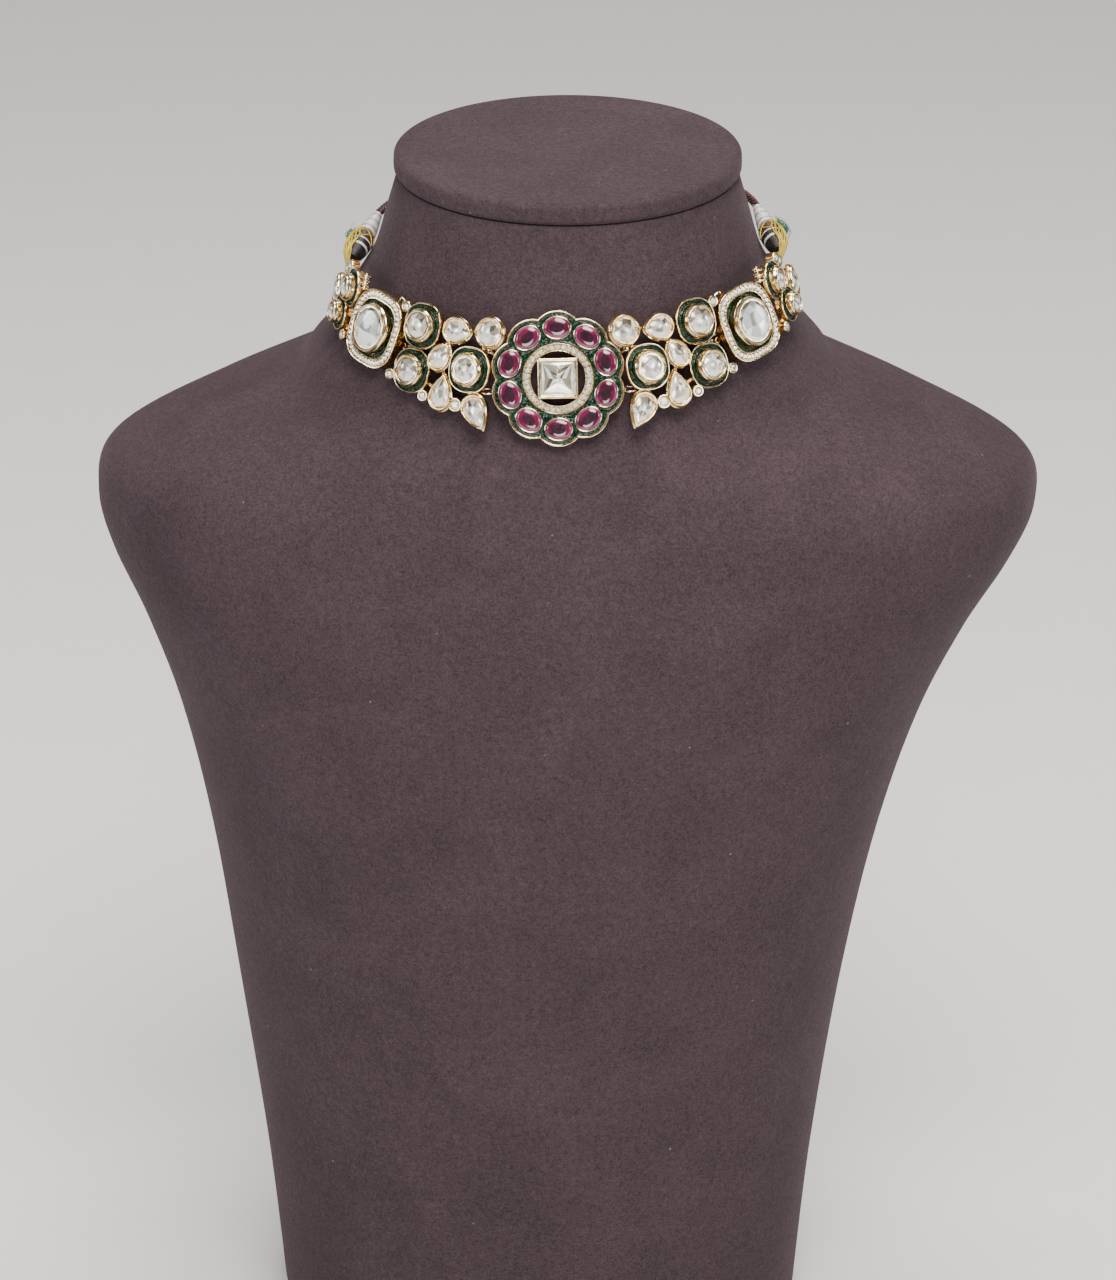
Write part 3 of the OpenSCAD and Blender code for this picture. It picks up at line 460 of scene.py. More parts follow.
def gold_burnished(name, colour, dark, rough, grain, relief=0.25):
    """Gold plate, burnished by hand: slight waves with dark reflections painted along them, and rubbing marks
    that dull it in places
    """
    look, mm = new_material(name)
    wave = add(look, "TexNoise", {"Scale": grain, "Detail": 1.0, "Roughness": 0.4}, mm)
    rub = add(look, "TexNoise", {"Scale": 3.2, "Detail": 2.0, "Roughness": 0.6}, mm)
    # painted reflection: the colour turns to the darker one in the troughs of the waves
    tone = add(look, "ValToRGB", None, {"Fac": wave}, ((0.34, dark), (0.58, colour)))
    dull = add(look, "MapRange",
               {"From Min": 0.3, "From Max": 0.7, "To Min": rough * 0.7, "To Max": rough * 1.5},
               {"Value": rub})
    bump = add(look, "Bump", {"Strength": relief, "Distance": 0.0002}, {"Height": wave})
    return closed(look, {"Metallic": 1.0}, {"Base Color": tone, "Roughness": dull, "Normal": bump})


def foil_stone(name, bright, grey, crease, metallic=0.35):
    """Flat-cut stone on silver foil: each facet holds one tone of painted light, faintly creased, under a
    glassy face
    """
    look, mm = new_material(name)
    fold = add(look, "TexNoise",
               {"Scale": 1.0 / crease, "Detail": 2.0, "Roughness": 0.5, "Distortion": 0.7}, mm)
    foil = add(look, "ValToRGB", None, {"Fac": fold}, ((0.36, grey), (0.62, bright)))
    bump = add(look, "Bump", {"Strength": 0.3, "Distance": 0.0002}, {"Height": fold})
    return closed(look, {"Metallic": metallic, "Roughness": 0.16, "Coat Weight": 0.8, "Coat Roughness": 0.03,
                         "Coat IOR": 1.6}, {"Base Color": foil, "Normal": bump})


def ruby_polished(name, colour, deep, cell):
    """Transparent red stone, cut low and polished: light from the foil below is painted into its colour in
    patches
    """
    look, mm = new_material(name)
    glow = add(look, "TexNoise", {"Scale": 1.0 / cell, "Detail": 1.0, "Distortion": 0.4}, mm)
    tone = add(look, "ValToRGB", None, {"Fac": glow}, ((0.36, deep), (0.62, colour)))
    scratch = add(look, "TexNoise", {"Scale": 2.5, "Detail": 2.0}, mm)
    haze = add(look, "MapRange",
               {"From Min": 0.3, "From Max": 0.7, "To Min": 0.05, "To Max": 0.14}, {"Value": scratch})
    bump = add(look, "Bump", {"Strength": 0.12, "Distance": 0.0001}, {"Height": scratch})
    return closed(look, {"IOR": 1.76}, {"Base Color": tone, "Roughness": haze, "Normal": bump})


def enamel_fired(name, colour, deep, grain):
    """Transparent green enamel, fired over a chased floor: dark and grainy below, glassy and flowed above"""
    look, mm = new_material(name)
    frit = add(look, "TexVoronoi", {"Scale": 1.0 / grain, "Randomness": 1.0}, mm)
    grains = add(look, "SeparateColor", None, {"Color": frit.outputs["Color"]})
    depth = add(look, "ValToRGB", None, {"Fac": grains}, ((0.45, deep), (1.0, colour)))
    flow = add(look, "TexNoise", {"Scale": 1.3, "Detail": 1.0}, mm)
    gloss = add(look, "MapRange",
                {"From Min": 0.3, "From Max": 0.7, "To Min": 0.04, "To Max": 0.12}, {"Value": flow})
    bump = add(look, "Bump", {"Strength": 0.7, "Distance": 0.0003}, {"Height": flow})
    return closed(look, {"IOR": 1.5, "Specular IOR Level": 0.3},
                  {"Base Color": depth, "Roughness": gloss, "Normal": bump})


def thread_wound(name, colour, dark, fibre, metal):
    """Silk or metal-wrapped thread, twisted: each strand streaked by its own fibres"""
    look, mm = new_material(name)
    streak = add(look, "TexNoise", {"Scale": 1.0 / fibre, "Detail": 3.0, "Roughness": 0.65}, mm)
    tone = add(look, "ValToRGB", None, {"Fac": streak}, ((0.32, dark), (0.66, colour)))
    bump = add(look, "Bump", {"Strength": 0.6, "Distance": 0.0002}, {"Height": streak})
    return closed(look, {"Roughness": 0.42, "Metallic": metal, "Sheen Weight": 0.12, "Sheen Roughness": 0.4},
                  {"Base Color": tone, "Normal": bump})


def paper_matte(name, colour):
    """Background paper, uncoated: matte, with a trace of fibre"""
    look, mm = new_material(name)
    fibre = add(look, "TexNoise", {"Scale": 0.05, "Detail": 4.0}, mm)
    tone = add(look, "ValToRGB", None, {"Fac": fibre},
               ((0.0, shade(colour, 0.98)), (1.0, shade(colour, 1.02))))
    return closed(look, {"Roughness": 0.9}, {"Base Color": tone})


# Names of the metal's finishes, with the side walls and the groove in painted shade, of the four painted
# tones of foil from painted flash to painted shade, and of the large stones' own four
RIM, SIDE, PAINTED_GROOVE_SHADE, PALE = "rim", "side", "groove", "pale"
FOIL = ("kundan", "kundan_light", "kundan_mid", "kundan_dark")
POLKI = ("polki", "polki_light", "polki_mid", "kundan_dark")
FINISHES = {}


def finish(name):
    """Shared materials, each made once from the colours in the settings"""
    if name in FINISHES:
        return FINISHES[name]
    scene = bpy.context.scene
    metal, stone = scene.choker_metal, scene.choker_stones
    thread, bust = scene.choker_threads, scene.choker_bust
    # each maker with the material's name, its colour and its darker colour, and then for gold its
    # roughness, waves to a millimetre and relief, for the others the size of their grain in
    # millimetres, and for foil and thread how metallic they are
    recipes = {
        RIM: (gold_burnished, "Gold_plate_burnished", metal.rim, metal.rim_dark, 0.14, 0.5),
        SIDE: (gold_burnished, "Gold_plate_side", metal.side, metal.side_dark, 0.26, 0.6),
        PALE: (gold_burnished, "Pale_gold_grain_set", metal.white, metal.rim_dark, 0.24, 1.4, 0.5),
        PAINTED_GROOVE_SHADE: (gold_burnished, "Gold_plate_groove", metal.side_dark, metal.groove, 0.4, 1.2),
        # four painted tones of one foil: flash, light, half shade and shade
        "kundan": (foil_stone, "Kundan_foil_flash", stone.flash, shade(stone.flash, 0.84), 1.6),
        "kundan_light": (foil_stone, "Kundan_foil_light", stone.light, shade(stone.light, 0.78), 1.6),
        "kundan_mid": (foil_stone, "Kundan_foil_mid", stone.mid, shade(stone.mid, 0.74), 1.6),
        "kundan_dark": (foil_stone, "Kundan_foil_dark", stone.dark, shade(stone.dark, 0.6), 1.6),
        # large stones: painted flash, painted light and painted shade as darker copies of one colour
        "polki": (foil_stone, "Polki_foil_flash", stone.slab, shade(stone.slab, 0.88), 3.2, 0.2),
        "polki_light": (foil_stone, "Polki_foil_light", shade(stone.slab, 0.58), shade(stone.slab, 0.44), 2.6,
                        0.2),
        "polki_mid": (foil_stone, "Polki_foil_mid", shade(stone.slab, 0.27), shade(stone.slab, 0.2), 2.6,
                      0.2),
        "ruby_table": (ruby_polished, "Ruby_table_polished", stone.ruby_painted_depth_shade, shade(stone.ruby_painted_depth_shade, 0.5),
                       2.2),
        "ruby_body": (ruby_polished, "Ruby_body_polished", stone.ruby, stone.ruby_painted_depth_shade, 2.2),
        "ruby_rim": (ruby_polished, "Ruby_rim_polished", stone.ruby_rim, stone.ruby, 2.2),
        "enamel": (enamel_fired, "Green_enamel_fired", stone.enamel, stone.enamel_deep, 0.35),
        "maroon": (thread_wound, "Maroon_silk_wound", thread.maroon, shade(thread.maroon, 0.35), 0.35, 0.0),
        "dark_silk": (thread_wound, "Dark_silk_wound", thread.dark, shade(thread.dark, 0.35), 0.35, 0.0),
        "zari": (thread_wound, "Gold_zari_twisted", thread.zari, shade(thread.zari, 0.35), 0.3, 0.35),
        "silver": (thread_wound, "Silver_zari_wound", thread.silver, shade(thread.silver, 0.55), 0.3, 0.25),
        "silver_grey": (thread_wound, "Grey_zari_wound", shade(thread.silver, 0.6), shade(thread.silver, 0.3),
                        0.3, 0.4),
        "green": (thread_wound, "Green_silk_tuft", thread.green, shade(thread.green, 0.4), 0.3, 0.0),
        "velvet": (velvet_brushed, "Velvet_short_nap", bust.velvet, bust.nap),
    }
    maker, *values = recipes[name]
    FINISHES[name] = maker(*values)
    return FINISHES[name]


# Settings

def colour_setting(name, where, text):
    return FloatVectorProperty(name=name, description=f"Colour {where}", subtype="COLOR", min=0, max=1,
                               default=linear(text))


class ChokerBust(bpy.types.PropertyGroup):
    velvet: colour_setting("Velvet", "of the velvet's pile", "#3c3135")
    nap: colour_setting("Nap", "of the nap where it is seen edge-on", "#9c898e")
    points: IntProperty(name="Points round", description="Points round the bust", default=168, min=48,
                        max=320)


class ChokerMetal(bpy.types.PropertyGroup):
    rim: colour_setting("Rims", "of the burnished rims", "#efe0b8")
    # the darker rim colour is painted reflection in the waves of the rims and of the pave metal
    rim_dark: colour_setting("Rim painted reflection", "where the rims are less burnished", "#c9ab74")
    # side walls and bars: their deeper, more orange gold is painted shade on the same metal as the rims
    side: colour_setting("Side walls", "of the walls and bars", "#dcb273")
    # painted shade, darker still, in the waves of the side walls, and the lighter tone of the painted groove
    # shade
    side_dark: colour_setting("Side painted shade", "of the walls where they are duller", "#9c6f37")
    # painted shade in the groove of each rim and in the crevice under its bead
    groove: colour_setting("Groove", "in the groove of each rim", "#57431f")
    white: colour_setting("Pave metal", "of the metal between the small stones", "#c9b48a")
    step: FloatProperty(name="Rim step", description="Width of the step cut into each rim, in millimetres",
                        default=0.16, min=0.05, max=0.3)


class ChokerStones(bpy.types.PropertyGroup):
    # the four foil colours are painted light: flash, light, half shade and shade of one silver foil, given to
    # each facet by where it lies
    flash: colour_setting("Foil painted flash", "where the foil flashes", "#f2f0e9")
    light: colour_setting("Foil painted light", "of the lighter facets", "#c8c4b7")
    mid: colour_setting("Foil painted half shade", "of the duller facets", "#979182")
    dark: colour_setting("Foil painted shade", "where the foil turns away", "#655d4c")
    # the large stones' colour is their painted flash; their lighter and shaded facets are darker copies of it
    slab: colour_setting("Large stone", "where the large stones flash", "#f6f9f5")
    ruby: colour_setting("Red stone", "of the red stones", "#610f33")
    # the red depth is painted shade on the tables and in patches, the red rim a painted glow at the stones'
    # edge
    ruby_painted_depth_shade: colour_setting("Red painted depth shade", "in the middle of the red stones", "#300a1c")
    ruby_rim: colour_setting("Red rim painted glow", "at the edge of the red stones", "#86305c")
    enamel: colour_setting("Enamel", "of the enamel", "#0a3a1f")
    enamel_deep: colour_setting("Enamel depth", "of the enamel where it is thick", "#02120a")


class ChokerThreads(bpy.types.PropertyGroup):
    maroon: colour_setting("Silk", "of the wound silk", "#401316")
    dark: colour_setting("Dark silk", "of the darkest wound silk", "#180e0c")
    zari: colour_setting("Gold thread", "of the gold thread", "#d9bd3c")
    silver: colour_setting("Silver thread", "of the silver thread", "#e4dfdc")
    green: colour_setting("Tuft", "of the green tuft", "#2c7a60")
    pitch: FloatProperty(name="Wrap", description="Distance between turns of wound thread, in millimetres",
                         default=0.42, min=0.2, max=1.0)


class ChokerStage(bpy.types.PropertyGroup):
    floor: colour_setting("Floor", "of the floor", "#e4e2de")
    key: FloatProperty(name="Key light", description="Power of the main soft light", default=30.0, min=0.0,
                       max=500.0, unit="POWER")
    fill: FloatProperty(name="Fill lights", description="Power of each soft light at the sides", default=5.5,
                        min=0.0, max=500.0, unit="POWER")


# Metalwork

def bezel(work, place, unit, step):
    """Cup wall round a stone: foot, side, sloped band, groove, and a bead burnished over the stone"""
    rim, side, foot = cup_rim(unit), RIM if unit.bulge else SIDE, -0.13
    # the groove and the crevice under the bead against the stone take the painted groove shade
    rows = [(foot, 0.0, side), (foot, BACK_H - 0.14, side), (CUP - 0.1, BACK_H, side),
            (CUP, BACK_H + 0.12, side), (CUP, rim - 0.92, side), (CUP - 0.03, rim - 0.82, RIM),
            (CUP - 0.1, rim - 0.74, RIM),
            (CUP - step - 0.12, rim - 0.42, RIM), (CUP - step - 0.16, rim - 0.47, PAINTED_GROOVE_SHADE),
            (CUP - step - 0.2, rim - 0.46, PAINTED_GROOVE_SHADE), (CUP - step - 0.23, rim - 0.2, RIM),
            (CUP - step - 0.3, rim - 0.06, RIM), (CUP - step - 0.42, rim, RIM), (-0.1, rim - 0.04, RIM),
            (-LIP + 0.06, rim - 0.14, RIM), (-LIP, rim - 0.26, RIM), (-LIP + 0.03, rim - 0.38, PAINTED_GROOVE_SHADE)]
    work.profile(rows, lambda by: drop_outline(unit.w, unit.h, unit.point, by), place)


def cup_rim(unit):
    """Height of the rim over the panel's back: cups in a tray stand higher"""
    return COLLET_H if unit.bulge else CUP_H


def tray(work, place, unit):
    """Shallow dish for enamel with its own thin rim"""
    reach = CUP + HALO_BAND + HALO_RIM
    rows = [(reach - 0.8, 0.0, SIDE), (reach - 0.8, BACK_H - 0.25, SIDE), (reach - 0.12, BACK_H - 0.15, SIDE),
            (reach, BACK_H, SIDE), (reach, TRAY_H - 0.35, SIDE), (reach - 0.03, TRAY_H - 0.12, RIM),
            (reach - 0.12, TRAY_H - 0.01, RIM), (reach - 0.24, TRAY_H, RIM),
            (reach - 0.38, TRAY_H - 0.06, RIM), (reach - 0.45, TRAY_H - 0.2, RIM),
            (reach - 0.45, BACK_H + 0.05, SIDE)]
    work.profile(rows, lambda by: tray_outline(unit, by), place)


def accent_cup(work, place, accent):
    """Plain cup of a small round stone"""
    rows = [(CUP, 0.0, SIDE), (CUP, ACCENT_H - 0.5, SIDE), (CUP - 0.05, ACCENT_H - 0.2, RIM),
            (CUP - 0.2, ACCENT_H - 0.03, RIM), (CUP - 0.4, ACCENT_H, RIM), (GAP - 0.1, ACCENT_H - 0.06, RIM),
            (GAP - 0.16, ACCENT_H - 0.3, RIM)]
    work.profile(rows, lambda by: circle_outline(accent.d / 2 + by, 32), place)


def bar(work, place, row, width=1.3, height=1.2, low=0.2):
    """Half-round bar between two cups"""
    a, b = Vector((row.along, row.up, 0)), Vector((row.to_along, row.to_up, 0))
    along = (b - a).normalized()
    across = Vector((-along.y, along.x, 0))
    arc = [math.pi * i / 12 for i in range(13)]
    section = [(width / 2 * math.cos(t), low + height * (0.35 + 0.65 * math.sin(t))) for t in arc]
    section += [(-width / 2, low), (width / 2, low)]
    work.loft([[p + across * s + Vector((0, 0, z)) for s, z in section] for p in (a, b)], place, SIDE)


def eyelet(work, place, along, up, hole_r, n):
    """Flat ring at the edge of a panel"""
    sections = ((hole_r + EYE_WALL, 0), (hole_r + EYE_WALL, EYE_T), (hole_r, EYE_T), (hole_r, 0))
    work.loft([[(along + x, up + y, z) for x, y in circle_outline(r, n)] for r, z in sections], place, RIM,
              loop=True)


def eye(work, place, along, up, into):
    """Eyelet on a tab that runs into the panel"""
    half = EYE_BORE / 2
    eyelet(work, place, along, up, half, 24)
    ends = sorted((along + math.copysign(half + 0.1, into), along + into))
    box = [(x, y, z) for x in ends for y in (up - half, up + half) for z in (0.02, EYE_T - 0.02)]
    faces = [(0, 1, 3, 2), (4, 6, 7, 5), (0, 4, 5, 1), (2, 3, 7, 6), (0, 2, 6, 4), (1, 5, 7, 3)]
    work.add(box, faces, place, RIM)


def grain_beads(work, place, spots, d, z):
    """Tiny grains raised from the metal to hold small stones"""
    for x, y in spots:
        rings = [[(x + a, y + b, z + h * d) for a, b in circle_outline(d / 2 * k, 6)]
                 for k, h in ((1, -0.4), (0.95, 0.1), (0.6, 0.42))]
        work.loft(rings, place, RIM)


def ruby_place(place, i):
    """Where red stone i lies on the medallion"""
    return place @ turned(-360 / LOBES * i, "Z") @ moved(0, RUBY_ORBIT)


def medallion_metal(work, place):
    """Dish of ten lobes with its ring, and the collets of the red stones and the square one"""
    rows = [(-0.8, 0.0, SIDE), (-0.8, 1.2, SIDE), (-0.15, 1.3, SIDE), (0.0, 1.45, SIDE), (0.0, 2.3, SIDE),
            (-0.03, 2.48, RIM), (-0.14, 2.59, RIM), (-0.28, 2.6, RIM), (-0.45, 2.54, RIM), (-0.55, 2.38, RIM),
            (-0.55, 1.7, SIDE)]
    inner = circle_outline(RING_R, LOBE_POINTS)
    rings = [ring_at(lobed_outline(grow), z) for grow, z, _ in rows]
    rings += [ring_at(inner, 1.7), ring_at(inner, 0.0)]
    work.loft(rings, place, [kind for _, _, kind in rows[1:]] + 3 * [SIDE], loop=True)
    # ring of small stones, between two rims
    near, far, h = RING_R, RING_R + RING_W, RING_H
    rows = [(near, 1.5, SIDE), (far, 1.5, PALE), (far, h - 0.2, SIDE), (far - 0.05, h - 0.05, RIM),
            (far - 0.12, h, RIM), (far - 0.2, h - 0.06, RIM), (far - 0.22, h - 0.62, PALE),
            (near + 0.22, h - 0.62, PALE), (near + 0.2, h - 0.06, PALE), (near + 0.12, h, RIM),
            (near + 0.05, h - 0.05, RIM), (near, h - 0.2, RIM)]
    work.profile(rows, lambda r: circle_outline(r, 144), place, loop=True)
    beads = [polar(RING_MIDDLE + off, t + math.pi / 2) for t in full_turn(RING_STONES, 0.5)
             for off in (-RING_GRAIN_OFF, RING_GRAIN_OFF)]
    grain_beads(work, place, beads, RING_GRAIN_D, RING_H - GRAIN_SINK)
    # collets of the red stones
    rim = RUBY_RIM
    rows = [(CUP, 1.6, SIDE), (CUP, 2.5, SIDE), (CUP - 0.02, rim - 0.18, RIM), (CUP - 0.08, rim - 0.04, RIM),
            (CUP - 0.17, rim, RIM), (CUP - 0.27, rim - 0.04, RIM), (CUP - 0.32, rim - 0.2, RIM),
            (GAP + 0.06, 2.5, SIDE), (GAP - 0.02, 1.8, SIDE)]
    for i in range(LOBES):
        work.profile(rows, lambda by: drop_outline(RUBY_L, RUBY_W, 0, by, 48), ruby_place(place, i))
    # square collet
    rows = [(0.75, 0.05, SIDE), (0.85, 0.2, SIDE), (0.85, SQUARE_H - 0.9, SIDE), (0.8, SQUARE_H - 0.8, RIM),
            (0.62, SQUARE_H - 0.72, RIM), (0.6, SQUARE_H - 0.15, RIM), (0.5, SQUARE_H - 0.02, RIM),
            (0.32, SQUARE_H, RIM), (0.12, SQUARE_H - 0.1, RIM), (0.03, SQUARE_H - 0.4, RIM),
            (0.03, SQUARE_H - 1.45, RIM)]
    work.profile(rows, lambda by: square_outline(SQUARE_W / 2 + by), place)


def plaque_metal(work, place):
    """Dish and border, with a bed for the small stones and the large stone's collet"""
    w, inner, h = PLAQUE_W, PLAQUE_INNER, BORDER_H
    rows = [(w - 1.6, 0.0, SIDE), (w - 1.6, 1.15, SIDE), (w - 0.2, 1.3, SIDE), (w, 1.45, SIDE),
            (w, h - 0.3, SIDE), (w - 0.06, h - 0.1, RIM), (w - 0.24, h, RIM), (w - 0.5, h - 0.02, RIM),
            (w - 0.66, h - 0.12, RIM), (w - 0.7, h - 0.62, PALE), (inner + 0.7, h - 0.62, PALE),
            (inner + 0.66, h - 0.12, PALE), (inner + 0.5, h - 0.02, PALE), (inner + 0.2, h, RIM),
            (inner + 0.04, h - 0.14, RIM), (inner, h - 0.4, RIM), (inner, BACK_H + 0.05, SIDE)]
    work.profile(rows, cushion_outline, place)
    rim = PLAQUE_COLLET
    # the collet's groove and the crevice under its bead take the painted groove shade
    rows = [(CUP, 1.4, RIM), (CUP, rim - 1.5, RIM), (CUP - 0.02, rim - 1.1, RIM),
            (CUP - 0.1, rim - 1.02, RIM), (CUP - 0.28, rim - 0.5, RIM), (CUP - 0.32, rim - 0.56, PAINTED_GROOVE_SHADE),
            (CUP - 0.36, rim - 0.55, PAINTED_GROOVE_SHADE),
            (CUP - 0.4, rim - 0.2, RIM), (CUP - 0.48, rim - 0.05, RIM), (CUP - 0.6, rim, RIM),
            (-0.08, rim - 0.05, RIM), (-LIP, rim - 0.2, RIM), (-LIP + 0.02, rim - 0.38, PAINTED_GROOVE_SHADE)]
    work.profile(rows, lambda by: circle_outline(PLAQUE_STONE / 2 + by), place)


def plaque_trim(work, place):
    """Grains between the small stones, and the wire that stands off the upper inner corner"""
    middle, off = PLAQUE_W - BORDER_W, 2 * BORDER_GRAIN_OFF
    beads = [p for width in (middle + off, middle - off)
             for p in spread(cushion_outline(width, BORDER_POINTS), BORDER_STONES, 0.5)]
    grain_beads(work, place, beads, BORDER_GRAIN_D, BORDER_H - GRAIN_SINK)
    corner = [Vector((x, y, 0.9)) for x, y in cushion_outline(PLAQUE_W + 1.9)[49:71]]
    work.tube([0.92 * corner[0]] + corner + [0.92 * corner[-1]], place, WIRE_D, RIM)


# Enamel

def flowed(work, place, near, far, low, top):
    """Ring of enamel between two outlines, which has crept up both walls as it melted"""
    rings = [ring_at(near, low)]
    for k, rise in ((0, 0.3), (0.08, 0.16), (0.25, 0.04), (0.5, 0), (0.75, 0.05), (0.92, 0.17), (1, 0.3)):
        rings.append(ring_at([mixed(a, b, k) for a, b in zip(near, far)], top + rise))
    rings.append(ring_at(far, low))
    work.loft(rings, place, "enamel", loop=True)


def enamel_ring(work, place, unit):
    near = drop_outline(unit.w, unit.h, 0, CUP + GAP, 72)
    flowed(work, place, near, tray_outline(unit, WALL + HALO_BAND), BACK_H + 0.17, TRAY_H - 0.42)


def lobed_enamel(work, place, steps=30):
    """Enamel of the medallion, which rises at every wall and lies low below the red stones"""
    low, field, under_stone, creep, creep_reach = 1.84, 2.18, 1.9, 0.3, 0.28
    near, far = circle_outline(RING_R + RING_W + GAP, LOBE_POINTS), lobed_outline(-CUP)
    centres = [(RUBY_ORBIT * math.sin(t), RUBY_ORBIT * math.cos(t), t) for t in full_turn(LOBES)]
    half_u, half_v = RUBY_L / 2 + CUP, RUBY_W / 2 + CUP
    rings = [ring_at(near, low)]
    for k in [step / steps for step in range(steps + 1)]:
        ring = []
        for a, b in zip(near, far):
            x, y = mixed(a, b, k)
            edge = min(k, 1 - k) * math.dist(a, b)
            cx, cy, t = min(centres, key=lambda c: math.hypot(x - c[0], y - c[1]))
            u = (x - cx) * math.cos(t) - (y - cy) * math.sin(t)
            v = (x - cx) * math.sin(t) + (y - cy) * math.cos(t)
            stone = (math.hypot(u / half_u, v / half_v) - 1) * half_v
            sink = min(1.0, max(0.0, (-stone - 0.1) / 0.25))
            rise = creep * math.exp(-max(0.0, min(edge, stone)) / creep_reach)
            ring.append((x, y, (field + rise) * (1 - sink) + under_stone * sink))
        rings.append(ring)
    rings.append(ring_at(far, low))
    work.loft(rings, place, "enamel", loop=True)


# Stones

FOIL_LIMITS = (0.62, 0.36, 0.0)


def facets(work, place, levels, foil, centre=None):
    """Staggered facets between rings of points, closed below, with a point or a table above.
    foil gives each facet its painted tone, from painted flash to painted shade, by its height in the stone as
    it hangs, -1 to 1."""
    n = len(levels[0])
    points = [p for ring in levels for p in ring]
    faces = []
    for i in range(len(levels) - 1):
        for j in range(n):
            a, b = i * n + j, i * n + (j + 1) % n
            faces += [(a, b, a + n), (b, b + n, a + n)]
    top = len(points) - n
    if centre is None:
        faces.append(tuple(range(top, top + n)))
    else:
        points.append(centre)
        faces += [(top + j, top + (j + 1) % n, top + n) for j in range(n)]
    faces.append(tuple(range(n - 1, -1, -1)))
    reach = max(math.hypot(p[0], p[1]) for p in points)
    upward = place.to_3x3()
    kinds = []
    for face in faces:
        x, y = (sum(points[i][axis] for i in face) / len(face) for axis in (0, 1))
        kinds.append(foil((upward @ Vector((x, y, 0))).z / reach))
    work.add(points, faces, place, kinds, flat=True)


def foil_below(rng, slope=1.3, spread_by=0.5, start=0.58, tones=FOIL):
    """Painted light on the foil: painted flash in the lower part of a stone, where it would throw the light
    from above back, and painted shade higher up: each facet's score, from its height and a chance, is set
    against the limits between the tones"""
    def choose(up):
        score = start - slope * 0.5 * up + rng.uniform(-spread_by, spread_by)
        return tones[sum(score <= limit for limit in FOIL_LIMITS)]
    return choose


def rose_cut(work, place, unit, rng, n=8):
    """Uneven rose cut: a low dome of a few hand-laid facets, whose edge lies below the metal's bead"""
    rim, rise = cup_rim(unit), 0.5
    levels = []
    # share of the width, height, unevenness and half step round
    rows = ((0.985, rim - 1.1, 0, 0), (0.985, rim - 0.75, 0, 0), (0.88, rim - 0.4, 0.01, 0),
            (0.47, rim + 0.4 * rise, 0.12, 0.5))
    for k, z, jitter, half in rows:
        ring = []
        for t in full_turn(n, half + rng.uniform(-0.12, 0.12)):
            s = k * (1 + rng.uniform(-jitter, jitter))
            widest = 1 - 0.23 * unit.point * k if unit.point > 0 else 1
            across = math.sin(t) * abs(math.sin(t / 2)) ** (unit.point * k) / widest
            ring.append((-unit.w / 2 * s * across, unit.h / 2 * s * math.cos(t),
                         z + rng.uniform(-1, 1) * jitter))
        levels.append(ring)
    centre = (rng.uniform(-0.1, 0.1) * unit.w, rng.uniform(-0.1, 0.1) * unit.h, rim + rise)
    facets(work, place, levels, foil_below(rng), centre)


def brilliant(work, place, d, z, height, rng, n=8):
    """Small round brilliant: girdle, crown and table"""
    levels = [[(*polar(d / 2 * k, t), z + up * height) for t in full_turn(n, spin)]
              for k, up, spin in ((0.6, -0.25, 0), (1, 0.1, 0), (1, 0.28, 0), (0.72, 0.8, 0.5), (0.46, 1, 0))]
    facets(work, place, levels, foil_below(rng, 0.5, 0.4, 0.72))


def border_stones(work, place, spots, d, h, rng):
    """Small brilliants set in a row on a border of height h"""
    for x, y in spots:
        brilliant(work, place @ moved(x, y), d, h - PAVE_SINK, PAVE_RISE, rng)


def oval_ruby(work, place):
    """Low oval stone with a rounded edge, which fills its thin collet, and a small table: a painted glow on
    the edge and painted shade on the table
    """
    edge, body = "ruby_rim", "ruby_body"
    rows = [(-0.12, 2.02, edge), (0.26, 2.72, edge), (0.3, 2.98, edge), (0.14, 3.2, edge),
            (-0.2, 3.36, edge), (-0.55, 3.46, body), (-0.85, 3.53, body), (-1.15, 3.58, body)]

    def oval(by):
        return drop_outline(RUBY_L, RUBY_W, 0, by, 48)

    work.profile(rows, oval, place, top=False)
    work.add(ring_at(oval(-1.15), 3.585), [tuple(range(48))], place, "ruby_table", flat=True)


def princess(work, place):
    """Square stone: a frame of narrow steps round four crossed chevrons"""
    base, half = SQUARE_H - 1.5, SQUARE_W / 2 * 0.995
    corners = ((1, 1), (-1, 1), (-1, -1), (1, -1))
    # share of the width, height, and how far the middle of each side stands out
    levels = ((1, GAP, 1), (1, 0.85, 1), (0.92, 1.1, 1), (0.87, 1.22, 0.88), (0.8, 1.36, 0.64),
              (0.5, 1.6, 0.5), (0.22, 1.74, 0.5))
    # painted foil tone of every step, F flash, L light, M half shade and D shade, by half sides from the
    # upper right one leftwards
    tones = ("LLLLLLLL", "LLMLFFLL", "FFFFLLFF", "MMMMLLMM", "DMFDFFMF", "FDMFDMFD", "LFDLFMLF")
    points, faces = [], []
    for k, z, waist in levels:
        for (ax, ay), (bx, by) in zip(corners, corners[1:] + corners[:1]):
            points += [(half * k * ax, half * k * ay, base + z),
                       (half * k * waist * (ax + bx) / 2, half * k * waist * (ay + by) / 2, base + z)]
    points.append((0, 0, base + 1.84))
    for step in range(len(tones)):
        for i in range(8):
            a, b = step * 8 + i, step * 8 + (i + 1) % 8
            faces.append((a, b, b + 8, a + 8) if step < len(tones) - 1 else (a, b, len(points) - 1))
    faces.append(tuple(range(7, -1, -1)))
    kinds = [FOIL["FLMD".index(tone)] for tone in "".join(tones) + "L"]
    work.add(points, faces, place, kinds, flat=True)


